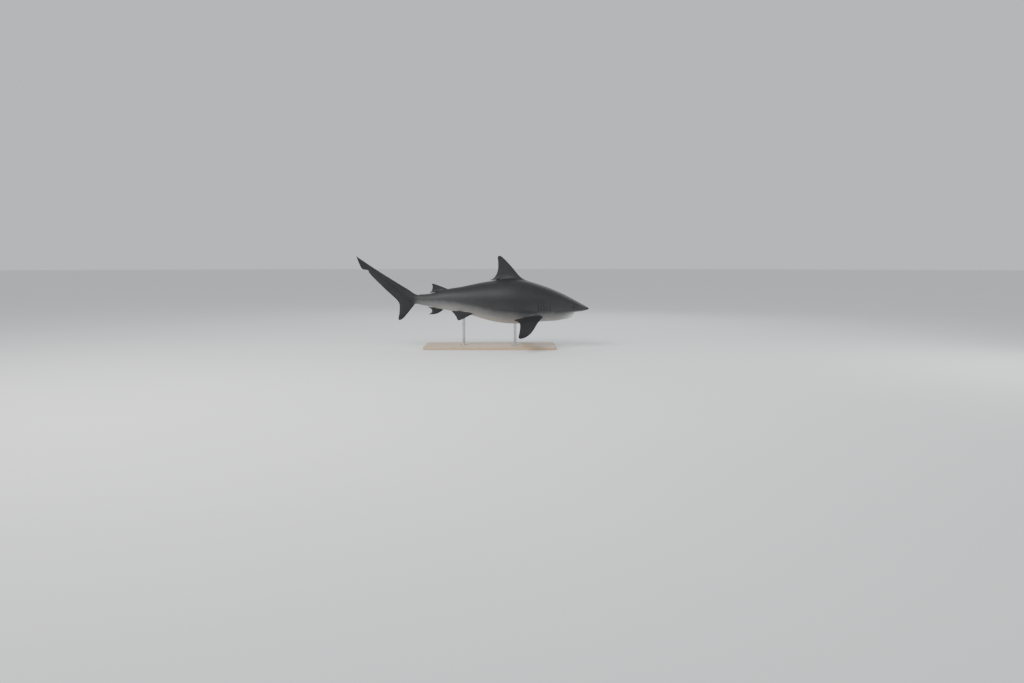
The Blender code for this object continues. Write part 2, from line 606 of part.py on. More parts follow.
    def lobe_block(name, grow):
        """Everything below the line between the lobes; its upper face runs from the peduncle back to the fork."""
        outline = [(69.0, -1.05 + grow), (75.2, -0.95 + grow), (79.5, -2.35 + grow), (79.5, -14.0), (69.0, -14.0)]
        points = [(-s, y, z) for y in (-4.0, 4.0) for s, z in outline]
        n = len(outline)
        faces = [(k, (k + 1) % n, n + (k + 1) % n, n + k) for k in range(n)]
        faces += [tuple(reversed(range(n))), tuple(range(n, 2 * n))]
        return make(name, place(np.array(points)), faces, None, helper=True)

    cut(lower, lobe_block("cut_lower_lobe", 0.0), "INTERSECT")
    cut(upper, lobe_block("cut_upper_lobe", GAP / PCT * 1.2))

    # Fins: each starts inside the body and is trimmed by the body, grown by the parting gap.
    hulls = {obj.name: grown(obj, f"cut_by_{obj.name}") for obj in (head, trunk, tail)}
    median = (
        ("dorsal_fin_first", DORSAL_ROWS, (1, 1, 1, 1, 2, 2, 1, 1, 1, 1, 1), 7, DORSAL_THICK, 1, ("trunk",)),
        ("dorsal_fin_second", SECOND_DORSAL_ROWS, (1,) * 8, 6, SMALL_THICK, 1, ("tail",)),
        ("anal_fin", ANAL_ROWS, (1,) * 8, 6, SMALL_THICK, -1, ("tail",)),
    )
    for name, rows, steps, cells, thick, sign, hosts in median:
        fin = fin_piece(name, fin_rings(rows, steps, cells, *thick), median_fin(sign), fins)
        for host in hosts:
            cut(fin, hulls[host])
    for sign, side in ((1, "left"), (-1, "right")):
        fin = fin_piece(
            f"pectoral_fin_{side}",
            fin_rings(PECTORAL_ROWS, PECTORAL_COUNTS, 9, *PECTORAL_THICK),
            paired_fin(sign, *PECTORAL),
            fins,
        )
        cut(fin, hulls["head"])
        cut(fin, hulls["trunk"])
        fin = fin_piece(
            f"pelvic_fin_{side}",
            fin_rings(PELVIC_ROWS, (1,) * 7, 6, *SMALL_THICK),
            paired_fin(sign, *PELVIC),
            fins,
        )
        cut(fin, hulls["trunk"])
        cut(fin, hulls["tail"])

    # Stand: a flat base with round corners, and two rods in collars that end just under the belly.
    middle = place(np.array([[-(ROD_STATIONS[0] + ROD_STATIONS[1]) / 2, 0.0, 0.0]]))[0]
    plate = bmesh.new()
    corners = []
    for cx, cy, start in ((1, 1, 0), (-1, 1, 90), (-1, -1, 180), (1, -1, 270)):
        for i in range(7):
            turn = math.radians(start + 90 * i / 6)
            corners.append(
                plate.verts.new(
                    (
                        middle[0] + cx * (BASE_LENGTH / 2 - BASE_CORNER) + BASE_CORNER * math.cos(turn),
                        middle[1] + cy * (BASE_WIDTH / 2 - BASE_CORNER) + BASE_CORNER * math.sin(turn),
                        0.0,
                    )
                )
            )
    bottom = plate.faces.new(corners)
    made = bmesh.ops.extrude_face_region(plate, geom=[bottom])["geom"]
    bmesh.ops.translate(plate, verts=[v for v in made if isinstance(v, bmesh.types.BMVert)], vec=(0, 0, BASE_THICK))
    rims = [e for e in plate.edges if all(v.co.z > BASE_THICK / 2 for v in e.verts) and len(e.link_faces) == 2]
    bmesh.ops.bevel(plate, geom=rims, offset=BASE_BEVEL, segments=2, affect="EDGES", profile=0.5)
    bmesh.ops.recalc_face_normals(plate, faces=plate.faces)
    mesh = bpy.data.meshes.new("stand_base")
    plate.to_mesh(mesh)
    plate.free()
    mesh.shade_smooth()
    mesh.set_sharp_from_angle(angle=math.radians(35))
    mesh.materials.append(wood)
    base = bpy.data.objects.new("stand_base", mesh)
    bpy.context.scene.collection.objects.link(base)

    hull = hulls["trunk"]
    for station, where in zip(ROD_STATIONS, ("front", "rear")):
        belly = place(section(station, -math.pi / 2)[None, :])[0]
        cylinder(
            f"stand_collar_{where}", belly, COLLAR_RADIUS, BASE_THICK + GAP, BASE_THICK + COLLAR_HEIGHT, steel, 20, 0.003
        )
        rod = cylinder(
            f"stand_rod_{where}", belly, ROD_RADIUS, BASE_THICK + COLLAR_HEIGHT + GAP, belly[2] + 0.03, steel, 20
        )
        cut(rod, hull)


main()
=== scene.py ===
"""Looks of the bull shark: one continuous skin over the still figure, glossy eyes, and the display stand.

The skin repeats the figure's own dimensions and curves (percent of total length, straight frame, then the swimming
bend), as one fine mesh. One half is laid out flat, nearly without stretch; the eye, nostril, mouth, gill slits and fin
roots are patches of rows that follow each feature, and triangles fill the rest. The half is mirrored, bent and placed.
"""
import json
import math

import bmesh
import bpy
import numpy as np
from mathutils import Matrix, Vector, kdtree
from mathutils.geometry import delaunay_2d_cdt

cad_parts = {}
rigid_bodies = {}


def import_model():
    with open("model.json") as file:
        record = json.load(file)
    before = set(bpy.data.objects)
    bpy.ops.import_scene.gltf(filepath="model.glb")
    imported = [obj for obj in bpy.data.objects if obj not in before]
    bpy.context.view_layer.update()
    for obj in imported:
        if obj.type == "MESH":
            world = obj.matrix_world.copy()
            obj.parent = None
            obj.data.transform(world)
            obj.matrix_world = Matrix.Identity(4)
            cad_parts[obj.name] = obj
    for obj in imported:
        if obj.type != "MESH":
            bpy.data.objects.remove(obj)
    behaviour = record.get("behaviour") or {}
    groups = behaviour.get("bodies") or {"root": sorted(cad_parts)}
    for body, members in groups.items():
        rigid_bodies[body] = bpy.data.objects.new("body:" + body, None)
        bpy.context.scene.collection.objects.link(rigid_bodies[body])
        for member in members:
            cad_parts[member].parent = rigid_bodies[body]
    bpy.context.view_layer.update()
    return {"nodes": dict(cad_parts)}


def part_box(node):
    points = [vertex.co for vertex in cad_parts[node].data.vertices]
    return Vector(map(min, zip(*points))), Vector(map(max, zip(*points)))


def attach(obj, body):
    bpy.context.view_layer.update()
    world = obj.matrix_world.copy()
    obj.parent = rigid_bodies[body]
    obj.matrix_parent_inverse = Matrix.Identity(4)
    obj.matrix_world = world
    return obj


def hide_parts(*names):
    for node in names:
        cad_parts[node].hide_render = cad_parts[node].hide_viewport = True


for thing in list(bpy.data.objects):
    bpy.data.objects.remove(thing)
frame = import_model()
nodes = frame["nodes"]

# ---- the figure's dimensions, as in the solids --------------------------------------------------------------
TOTAL_LENGTH = 2.40
PCT = TOTAL_LENGTH / 100
NOSE_DOWN = math.radians(3.28)
SNOUT_HEIGHT = 0.385
SWIM_HEAD, SWIM_TAIL = 0.55, 3.3
SWIM_WAVE, SWIM_PHASE = 110.0, -0.94

MOUTH_FRONT, MOUTH_CORNER, MOUTH_HALF = 6.0, 10.6, 4.9
EYE_STATION, EYE_ANGLE, EYE_RADIUS, EYE_PROUD = 6.75, math.radians(6.0), 0.68, 0.17
GILL_STATIONS = (16.1, 17.35, 18.55, 19.7, 20.8)
GILL_HEIGHTS = (3.0, 3.5, 3.7, 3.5, 2.9)
GILL_MIDDLES = (-1.25, -1.20, -1.10, -0.92, -0.70)

# station, back, belly, half width, height of the widest line, fullness of the upper and lower half
STATIONS = (
    (0.0, 0.10, 0.10, 0.00, 0.10, 2.30, 2.60),
    (1.2, 1.14, -0.45, 3.38, 0.18, 2.30, 2.60),
    (2.9, 1.95, -0.98, 4.75, 0.28, 2.30, 2.65),
    (4.6, 2.77, -1.34, 5.42, 0.38, 2.28, 2.65),
    (6.6, 3.72, -1.95, 5.84, 0.46, 2.24, 2.60),
    (10.0, 5.28, -3.30, 6.35, 0.50, 2.16, 2.50),
    (13.6, 6.68, -4.95, 6.85, 0.48, 2.10, 2.38),
    (18.2, 8.24, -6.12, 7.45, 0.45, 2.06, 2.26),
    (22.6, 9.40, -6.95, 7.92, 0.50, 2.02, 2.20),
    (26.7, 10.35, -7.52, 8.20, 0.68, 2.00, 2.16),
    (31.2, 10.78, -7.86, 8.32, 0.90, 2.00, 2.14),
    (36.2, 10.20, -7.72, 8.02, 1.02, 2.00, 2.12),
    (41.6, 9.14, -6.98, 7.22, 1.02, 2.00, 2.10),
    (47.4, 7.70, -5.62, 6.02, 0.92, 2.00, 2.06),
    (54.2, 5.90, -4.42, 4.66, 0.70, 2.00, 2.04),
    (59.6, 4.62, -3.66, 3.66, 0.45, 2.00, 2.00),
    (65.8, 2.62, -2.74, 2.52, 0.05, 2.00, 2.00),
    (71.6, 2.02, -1.96, 1.74, 0.03, 2.00, 2.00),
)
JAW_DROP = ((5.0, 1.90), (7.4, 1.95), (9.6, 1.62), (13.0, 0.80), (15.6, 0.30), (18.0, 0.0), (22.0, 0.0))

# Rows of each fin from root to tip: leading edge, then trailing edge.
DORSAL_ROWS = (
    ((26.9, 0.08), (38.3, 0.12)), ((27.8, 0.22), (39.9, 0.20)), ((28.5, 0.48), (41.4, 0.36)),
    ((29.1, 0.92), (40.2, 0.78)), ((29.8, 1.60), (39.3, 1.65)), ((31.1, 3.00), (38.6, 3.10)),
    ((32.45, 4.55), (38.35, 4.80)), ((34.0, 6.25), (38.40, 6.60)), ((35.6, 8.00), (38.6, 8.35)),
    ((36.85, 9.22), (38.72, 9.25)), ((37.65, 9.78), (38.6, 9.68)), ((38.25, 9.92), (38.25, 9.92)),
)
SECOND_DORSAL_ROWS = (
    ((58.5, 0.06), (63.4, 0.10)), ((59.1, 0.30), (64.8, 0.16)), ((59.6, 0.62), (66.0, 0.30)),
    ((60.3, 1.10), (65.4, 0.75)), ((61.3, 1.75), (65.05, 1.45)), ((62.4, 2.50), (64.90, 2.40)),
    ((63.5, 3.22), (65.02, 3.20)), ((64.55, 3.78), (65.22, 3.70)), ((65.1, 3.94), (65.1, 3.94)),
)
ANAL_ROWS = (
    ((59.7, 0.06), (63.8, 0.10)), ((60.2, 0.42), (65.2, 0.15)), ((60.6, 0.85), (66.5, 0.28)),
    ((61.1, 1.30), (65.5, 0.66)), ((61.8, 1.85), (64.75, 1.20)), ((62.7, 2.40), (64.65, 1.80)),
    ((63.8, 2.88), (64.95, 2.40)), ((65.0, 3.18), (65.55, 2.95)), ((65.7, 3.22), (65.7, 3.22)),
)
PECTORAL_ROWS = (
    ((0.0, 0.0), (6.9, 0.0)), ((0.2, 0.6), (9.3, 1.2)), ((0.45, 1.3), (11.3, 2.4)),
    ((0.75, 2.2), (10.0, 3.7)), ((1.15, 3.4), (9.2, 4.9)), ((1.75, 5.4), (8.75, 7.2)),
    ((2.42, 8.15), (8.62, 10.0)), ((3.3, 11.9), (8.64, 12.9)), ((4.25, 14.9), (8.75, 15.6)),
    ((5.3, 16.9), (8.8, 17.3)), ((6.5, 18.3), (8.65, 18.4)), ((7.9, 19.1), (7.9, 19.1)),
)
PELVIC_ROWS = (
    ((0.0, 0.0), (5.2, 0.0)), ((0.5, 0.35), (7.2, 0.28)), ((1.0, 0.78), (9.0, 0.58)),
    ((1.7, 1.35), (8.0, 1.40)), ((2.7, 2.15), (7.15, 2.35)), ((3.7, 2.95), (6.70, 3.20)),
    ((4.7, 3.68), (6.45, 3.90)), ((5.75, 4.30), (5.75, 4.30)),
)
PECTORAL = (18.8, 39.0, 22.0, 5.0)
PELVIC = (47.4, 58.0, 48.0, -4.0)
PECTORAL_THICK = (0.78, 0.30, 0.75, 0.9)
DORSAL_THICK = (0.70, 0.28, 0.85, 0.9)
SMALL_THICK = (0.42, 0.20, 0.80, 0.5)
CAUDAL_ROWS = (
    ((71.6, 2.02), (71.6, -1.96), 3.98, 1.74, 0.45),
    ((72.5, 2.45), (72.6, -3.30), 4.30, 1.58, 0.50),
    ((73.5, 3.10), (74.5, -6.00), 4.40, 1.40, 0.50),
    ((74.5, 3.72), (76.2, -8.15), 4.30, 1.26, 0.46),
    ((75.3, 4.18), (77.4, -8.95), 4.15, 1.17, 0.42),
    ((75.9, 4.50), (78.15, -8.75), 4.00, 1.10, 0.40),
    ((76.7, 4.93), (77.95, -6.60), 3.85, 1.03, 0.38),
    ((77.6, 5.42), (77.90, -4.40), 3.70, 0.98, 0.36),
    ((78.6, 5.97), (78.05, -2.40), 3.50, 0.93, 0.34),
    ((79.8, 6.65), (79.00, -0.85), 3.30, 0.88, 0.32),
    ((82.2, 8.00), (80.9, 0.85), 3.00, 0.80, 0.30),
    ((85.8, 10.05), (83.8, 3.30), 2.60, 0.68, 0.27),
    ((89.6, 12.30), (87.6, 6.75), 2.15, 0.54, 0.24),
    ((91.9, 13.72), (90.65, 9.80), 1.80, 0.44, 0.22),
    ((92.3, 13.96), (91.1, 10.72), 1.75, 0.42, 0.22),
    ((93.8, 14.87), (93.4, 11.15), 1.50, 0.36, 0.20),
    ((95.3, 15.82), (94.9, 13.60), 1.20, 0.28, 0.17),
    ((96.1, 16.40), (96.1, 16.40), 0.80, 0.20, 0.15),
)


# ---- curves and the body's surface ----------------------------------------------------------------------------
def spline(xs, ys):
    """Natural cubic through the points, as a function of an array; held beyond the ends."""
    xs, ys = np.asarray(xs, float), np.asarray(ys, float)
    n, h = len(xs), np.diff(xs)
    a, r = np.eye(n), np.zeros(n)
    for i in range(1, n - 1):
        a[i, i - 1 : i + 2] = h[i - 1], 2 * (h[i - 1] + h[i]), h[i]
        r[i] = 6 * ((ys[i + 1] - ys[i]) / h[i] - (ys[i] - ys[i - 1]) / h[i - 1])
    m = np.linalg.solve(a, r)

    def value(x):
        x = np.asarray(x, float)
        i = np.clip(np.searchsorted(xs, x) - 1, 0, n - 2)
        t = np.clip(x, xs[0], xs[-1])
        p, q = t - xs[i], xs[i + 1] - t
        return (
            m[i] * q**3 / (6 * h[i])
            + m[i + 1] * p**3 / (6 * h[i])
            + (ys[i] / h[i] - m[i] * h[i] / 6) * q
            + (ys[i + 1] / h[i] - m[i + 1] * h[i] / 6) * p
        )

    return value


def through(points, t):
    """Centripetal Catmull-Rom curve through the points; whole values of t fall on them."""
    p = np.asarray(points, float)
    p = np.vstack([2 * p[0] - p[1], p, 2 * p[-1] - p[-2]])
    out = []
    for one in np.atleast_1d(t):
        i = int(min(max(math.floor(one), 0), len(p) - 4))
        f = one - i
        a, b, c, d = p[i : i + 4]
        k = [0.0]
        for u, v in ((a, b), (b, c), (c, d)):
            k.append(k[-1] + max(float(np.linalg.norm(v - u)), 1e-6) ** 0.5)
        x = k[1] + f * (k[2] - k[1])
        ab = (a * (k[1] - x) + b * (x - k[0])) / (k[1] - k[0])
        bc = (b * (k[2] - x) + c * (x - k[1])) / (k[2] - k[1])
        cd = (c * (k[3] - x) + d * (x - k[2])) / (k[3] - k[2])
        abc = (ab * (k[2] - x) + bc * (x - k[0])) / (k[2] - k[0])
        bcd = (bc * (k[3] - x) + cd * (x - k[1])) / (k[3] - k[1])
        out.append((abc * (k[2] - x) + bcd * (x - k[1])) / (k[2] - k[1]))
    return np.array(out)


ROOT_S = [math.sqrt(row[0]) for row in STATIONS]
profile = [spline(ROOT_S, [row[k] for row in STATIONS]) for k in range(1, 7)]
jaw_drop = spline([row[0] for row in JAW_DROP], [row[1] for row in JAW_DROP])


def at(k, s):
    return profile[k](np.sqrt(np.maximum(np.asarray(s, float), 0)))


def power(x, n):
    return np.sign(x) * np.abs(x) ** (2 / n)


def section(s, angle):
    """Point of the body at station s; angle runs from the belly (-90 degrees) over the left flank to the back (90)."""
    s, angle = np.broadcast_arrays(np.asarray(s, float), np.asarray(angle, float))
    c, d = np.cos(angle), np.sin(angle)
    upper = d >= 0
    n = np.where(upper, at(4, s), at(5, s))
    wide = at(3, s)
    reach = np.where(upper, at(0, s) - wide, wide - at(1, s))
    return np.stack([-s, at(2, s) * power(c, n), wide + reach * power(d, n)], -1)


def angle_of(points):
    """The angle whose section passes through each point of the straight frame, measured from the middle line."""
    s = -points[:, 0]
    up = points[:, 2] >= at(3, s)
    n = np.where(up, at(4, s), at(5, s))
    reach = np.where(up, at(0, s) - at(3, s), at(3, s) - at(1, s))
    y = np.abs(points[:, 1]) / at(2, s)
    z = np.abs(points[:, 2] - at(3, s)) / reach
    k = (y**n + z**n + 1e-12) ** (-1 / n)
    return np.arctan2((k * z) ** (n / 2), (k * y) ** (n / 2)) * np.where(up, 1, -1)


def smooth(x, low, high):
    t = np.clip((np.asarray(x, float) - low) / (high - low), 0, 1)
    return t * t * (3 - 2 * t)


def mouth_line(y):
    return MOUTH_FRONT + (MOUTH_CORNER - MOUTH_FRONT) * (np.abs(y) / MOUTH_HALF) ** 2.2


def mouth_slope(y):
    return 2.2 * (MOUTH_CORNER - MOUTH_FRONT) / MOUTH_HALF * (np.abs(y) / MOUTH_HALF) ** 1.2


def swing(s):
    return (SWIM_HEAD + SWIM_TAIL * (s / 100) ** 2) * np.sin(2 * np.pi * s / SWIM_WAVE + SWIM_PHASE)


def place(points, centre=(0.0, 0.0)):
    """Bends, tips and places points given in percent; the result is in metres."""
    p = np.asarray(points, float)
    s = -p[..., 0]
    turn = np.arctan((swing(s + 0.05) - swing(s - 0.05)) / 0.1)
    x = -s + p[..., 1] * np.sin(turn)
    y = swing(s) + p[..., 1] * np.cos(turn)
    c, d = math.cos(NOSE_DOWN), math.sin(NOSE_DOWN)
    out = np.stack([x * c + p[..., 2] * d, y, -x * d + p[..., 2] * c], -1) * PCT
    return out + np.array([centre[0], centre[1], SNOUT_HEIGHT])


# ---- half the body laid out flat ------------------------------------------------------------------------------
S_FIRST, S_LAST = 0.6, 71.6
S_GRID = np.unique(np.concatenate([np.linspace(S_FIRST, 6, 60), np.linspace(6, S_LAST, 300)]))
A_GRID = np.pi * ((1 - np.cos(np.pi * np.linspace(0, 1, 601))) / 2 - 0.5)
_ring = section(S_GRID[:, None], A_GRID[None, :])
_step = np.linalg.norm(np.diff(_ring, axis=1), axis=-1)
_sum = np.concatenate([np.zeros((len(S_GRID), 1)), np.cumsum(_step, axis=1)], axis=1)
GIRTH = _sum[:, -1]
SHARE = _sum / GIRTH[:, None]                       # share of the half girth at each angle of the table
V_GRID = (1 - np.cos(np.pi * np.linspace(0, 1, 401))) / 2
ANGLE = np.array([np.interp(V_GRID, row, A_GRID) for row in SHARE])
_mid = np.mean(
    [np.linalg.norm(np.diff(_ring[:, k], axis=0), axis=-1) for k in (150, 225, 300, 375, 450)], axis=0
)
RUN = np.concatenate([[0], np.cumsum(_mid)])


def _table(table, rows, columns, s, q):
    i = np.clip(np.searchsorted(rows, s) - 1, 0, len(rows) - 2)
    j = np.clip(np.searchsorted(columns, q) - 1, 0, len(columns) - 2)
    f = np.clip((s - rows[i]) / (rows[i + 1] - rows[i]), 0, 1)
    g = np.clip((q - columns[j]) / (columns[j + 1] - columns[j]), 0, 1)
    return (table[i, j] * (1 - f) + table[i + 1, j] * f) * (1 - g) + (
        table[i, j + 1] * (1 - f) + table[i + 1, j + 1] * f
    ) * g


def flat(s, angle):
    """Place of (station, angle) in the flat layout."""
    s, angle = np.broadcast_arrays(np.asarray(s, float), np.asarray(angle, float))
    share = _table(SHARE, S_GRID, A_GRID, s, angle)
    return np.stack([np.interp(s, S_GRID, RUN), (share - 0.5) * np.interp(s, S_GRID, GIRTH)], -1)


def unflat(p):
    """(station, angle) of points of the flat layout."""
    s = np.interp(p[..., 0], RUN, S_GRID)
    share = np.clip(p[..., 1] / np.interp(s, S_GRID, GIRTH) + 0.5, 0, 1)
    return s, _table(ANGLE, S_GRID, V_GRID, s, share)


# ---- the mesh being gathered -------------------------------------------------------------------------------------
class Gather:
    """Points of half the skin with what is known of each, and its faces."""

    def __init__(self):
        self.rest, self.flat, self.push, self.slide, self.more, self.faces = [], [], [], [], [], []
        self.count = 0

    def add(self, rest, flat_xy=None, push=None, slide=None, **more):
        """Adds points: place in the straight frame, place in the flat layout, push along the normal, extra shift."""
        n = len(rest)
        self.rest.append(np.asarray(rest, float))
        self.flat.append(np.full((n, 2), np.nan) if flat_xy is None else np.asarray(flat_xy, float))
        self.push.append(np.zeros(n) if push is None else np.asarray(push, float))
        self.slide.append(np.zeros((n, 3)) if slide is None else np.asarray(slide, float))
        self.more.append({k: np.broadcast_to(np.asarray(v, float), (n,)).copy() for k, v in more.items()})
        first = self.count
        self.count += n
        return np.arange(first, self.count)

    def grid(self, index, closed=False):
        """Quads over a rows by columns array of point numbers."""
        a = index
        if closed:
            a = np.concatenate([a, a[:, :1]], axis=1)
        quads = np.stack([a[:-1, :-1], a[:-1, 1:], a[1:, 1:], a[1:, :-1]], -1).reshape(-1, 4)
        self.faces += [tuple(q) for q in quads.tolist()]

    def result(self, names):
        rest, flat_xy = np.vstack(self.rest), np.vstack(self.flat)
        push, slide = np.concatenate(self.push), np.vstack(self.slide)
        more = {k: np.concatenate([m.get(k, np.zeros(len(r))) for m, r in zip(self.more, self.rest)]) for k in names}
        return rest, flat_xy, push, slide, more


skin = Gather()
holes = []          # outlines, in the flat layout, that the fill keeps out of
outline_points = {}  # point number of each fixed point of the outlines


def outline(loop):
    holes.append(np.asarray(loop, int))


def body_points(s, angle, **more):
    """Adds points of the bare body; more may hold push and slide."""
    s, angle = np.broadcast_arrays(np.asarray(s, float), np.asarray(angle, float))
    return skin.add(section(s, angle), flat(s, angle), s=s, **more)


# ---- eye: lids around the ball, with the fold of the third eyelid low in front -------------------------------
def ball_height(r):
    return np.sqrt(np.clip(EYE_RADIUS**2 - r**2, 0, None)) - (EYE_RADIUS - EYE_PROUD)


EYE_OPENING = 1.2


def eye_patch():
    around = 56
    turn = 2 * np.pi * np.arange(around) / around
    centre = flat(EYE_STATION, EYE_ANGLE)
    # distance from the middle of the eye, height over the flank; the third lid pulls the inner rows inward
    rows = (
        (0.10, -0.20, 1), (0.20, -0.18, 1), (0.28, -0.12, 1), (0.325, -0.045, 1), (0.343, 0.012, 1), (0.352, 0.040, 1),
        (0.362, 0.052, 0.85), (0.372, 0.046, 0.45), (0.380, 0.040, 0.1), (0.388, 0.058, 0), (0.400, 0.078, 0),
        (0.420, 0.088, 0), (0.445, 0.084, 0), (0.480, 0.066, 0), (0.520, 0.042, 0), (0.565, 0.016, 0),
        (0.610, -0.006, 0), (0.660, -0.014, 0), (0.720, -0.012, 0), (0.800, -0.006, 0), (0.900, -0.001, 0),
        (1.020, 0.0, 0),
    )
    third = np.exp(-((np.angle(np.exp(1j * (turn - math.radians(-115)))) / 0.85) ** 2))
    index = []
    for r, high, pull in rows:
        radius = EYE_OPENING * r * (1 - 0.20 * third * pull)
        lift = high + (ball_height(radius) - ball_height(EYE_OPENING * r)) * pull
        brow = np.exp(-((np.angle(np.exp(1j * (turn - math.radians(80)))) / 0.9) ** 2))
        lift = lift + 0.045 * brow * math.exp(-(((r - 0.52) / 0.16) ** 2))
        wide = 1 + 0.05 * np.cos(2 * turn) * smooth(r, 0.3, 0.5) * (1 - smooth(r, 0.6, 1.0))
        place_ = centre + np.stack([radius * wide * np.cos(turn), radius * wide * np.sin(turn)], -1)
        s, angle = unflat(place_)
        # painted shade: the inside of the lid opening, the fold of the third lid and the furrow round the eye are
        # darkened where shade falls
        deep = np.where(r < 0.372, 0.9, 0.0) * (1 - 0.75 * third) + 0.35 * math.exp(-(((r - 0.385) / 0.012) ** 2)) * third
        deep = deep + 0.25 * math.exp(-(((r - 0.65) / 0.07) ** 2))
        index.append(body_points(s, angle, push=np.broadcast_to(lift, s.shape), crevice=deep, lid=np.full(around, 1 - float(smooth(r, 0.45, 0.75)))))
    s, angle = unflat(centre[None])
    middle = body_points(s, angle, push=[-0.2], crevice=[0.9])[0]
    skin.grid(np.array(index), closed=True)
    skin.faces += [(int(index[0][(k + 1) % around]), int(index[0][k]), int(middle)) for k in range(around)]
    outline(index[-1])


# ---- nostril: a slanting pit, crossed by a short broad flap from its front rim ---------------------------------
def nostril_patch():
    around = 48
    turn = 2 * np.pi * np.arange(around) / around
    centre = flat(3.3, math.radians(-49))
    lean = math.radians(28)
    along = np.array([-math.sin(lean), math.cos(lean)])        # outward and forward
    across = np.array([-math.cos(lean), -math.sin(lean)])      # forward and inward
    flap = np.exp(-((np.angle(np.exp(1j * (turn - math.radians(104)))) / 0.40) ** 2))
    rim = 1 - 0.80 * flap
    rows = (
        (0.22, -0.36), (0.45, -0.34), (0.64, -0.28), (0.80, -0.18), (0.90, -0.09), (0.96, -0.035), (0.99, 0.0),
        (1.02, 0.020), (1.07, 0.032), (1.15, 0.030), (1.28, 0.018), (1.50, 0.004), (1.80, 0.0), (2.15, 0.0),
    )
    index = []
    for r, high in rows:
        shape = r * (rim + (1 - rim) * float(smooth(r, 1.0, 1.5)))
        spread = 0.84 + 0.06 * float(smooth(r, 1.1, 2.1)), 0.25 + 0.33 * float(smooth(r, 1.0, 2.1))
        xy = centre + (shape * np.cos(turn) * spread[0])[:, None] * along + (shape * np.sin(turn) * spread[1])[:, None] * across
        s, angle = unflat(xy)
        # the flap's edge lies over the pit as a thin lip
        lift = high + 0.05 * flap * math.exp(-(((r - 1.02) / 0.10) ** 2))
        # painted shade: the pit darkens towards its bottom, and its middle is darkest
        deep = float(1 - smooth(r, 0.62, 0.99))
        index.append(body_points(s, angle, push=lift, crevice=np.full(around, deep)))
    s, angle = unflat(centre[None])
    middle = body_points(s, angle, push=[-0.37], crevice=[1.0])[0]
    skin.grid(np.array(index), closed=True)
    skin.faces += [(int(index[0][(k + 1) % around]), int(index[0][k]), int(middle)) for k in range(around)]
    outline(index[-1])


# ---- gill slits: each flap ends in a thin rear edge that lies over a narrow, deep slit ----------------------------
GILL_ROWS = (
    (-0.50, 0.0), (-0.40, 0.012), (-0.30, 0.034), (-0.21, 0.056), (-0.14, 0.068), (-0.085, 0.068), (-0.045, 0.052),
    (-0.018, 0.020), (-0.006, -0.030), (0.006, -0.14), (0.016, -0.27), (0.045, -0.30), (0.080, -0.22),
    (0.12, -0.135), (0.17, -0.080), (0.23, -0.045), (0.31, -0.018), (0.40, 0.0),
)


def gill_patch(number, station, high, middle):
    along = np.linspace(-1.0, 1.0, 41)
    along = np.sign(along) * (1 - (1 - np.abs(along)) ** 1.15)
    angle = (along * high / 2 + middle) / 7.2
    lean = station - 0.25 + 0.5 * along**2 + 0.12 * along + 0.035 * np.sin(3.1 * along + number * 1.7)
    line = flat(lean, angle)
    way = np.gradient(line, axis=0)
    way /= np.linalg.norm(way, axis=1)[:, None]
    rear = np.stack([way[:, 1], -way[:, 0]], -1)
    rear *= np.sign(rear[:, :1])
    fade = np.clip(1 - along**2, 0, 1) ** 0.65
    index = []
    for d, lift in GILL_ROWS:
        # the flap's edge leans back over the slit
        shift = 0.055 * fade * math.exp(-(((d + 0.02) / 0.07) ** 2)) if d <= 0 else 0.0
        s, a = unflat(line + rear * (d + shift + 0 * along)[:, None])
        # painted shade: the narrow slit under each flap's edge is darkened
        deep = math.exp(-(((d - 0.03) / 0.06) ** 2)) if d > -0.01 else 0.0
        index.append(body_points(s, a, push=lift * fade, crevice=deep * fade))
    index = np.array(index)
    skin.grid(index)
    outline(np.concatenate([index[0], index[1:, -1], index[-1, -2::-1], index[-2:0:-1, 0]]))


# ---- mouth: the upper lip's edge, a deep crease, and the rounded lip of the lower jaw ---------------------------
LIP = 0.72
MOUTH_ROWS = [
    (-1.00, 0.0), (-0.78, 0.004), (-0.58, 0.014), (-0.42, 0.028), (-0.30, 0.040), (-0.20, 0.046), (-0.13, 0.042),
    (-0.075, 0.026), (-0.035, -0.01), (-0.012, -0.09), (0.0, -0.24),
]
MOUTH_ROWS += [
    (LIP * (1 - math.cos(math.radians(7.5 * k))), (-0.20, -0.11, -0.05, -0.02, -0.005)[k - 1] if k < 6 else 0.0)
    for k in range(1, 13)
]
MOUTH_ROWS += [(LIP + 0.11, 0.0), (LIP + 0.25, 0.0), (LIP + 0.43, 0.0)]


def mouth_patch():
    y = np.linspace(0, 5.45, 400)
    arc = np.concatenate([[0], np.cumsum(np.hypot(np.diff(y), np.diff(mouth_line(y))))])
    y = np.interp(np.linspace(0, arc[-1], 84), arc, y)
    slope = mouth_slope(y)
    norm = np.hypot(1, slope)
    fade = 1 - smooth(y, 4.75, 5.35)
    index = []
    for d, lift in MOUTH_ROWS:
        s = mouth_line(y) + d / norm
        out = np.clip(y - d * slope / norm, 0, None)
        cosine = np.clip(out / at(2, s), 0, 1) ** (at(5, s) / 2)
        angle = -np.arccos(cosine)
        # painted shade: the crease between the lips is darkened
        deep = math.exp(-(((d - 0.0) / 0.035) ** 2))
        corner = 0.10 * np.exp(-(((y - 4.75) / 0.25) ** 2)) * math.exp(-((d / 0.10) ** 2))
        index.append(
            body_points(s, angle, push=lift * fade - corner * fade, crevice=deep * fade, behind=np.full(len(y), d), known=np.ones(len(y)))
        )
    index = np.array(index)
    skin.grid(index)
    return index


# ---- fins ---------------------------------------------------------------------------------------------------------
def foil(a):
    shape = 0.2969 * np.sqrt(a) - 0.126 * a - 0.3516 * a**2 + 0.2843 * a**3 - 0.1015 * a**4
    return shape / 0.1


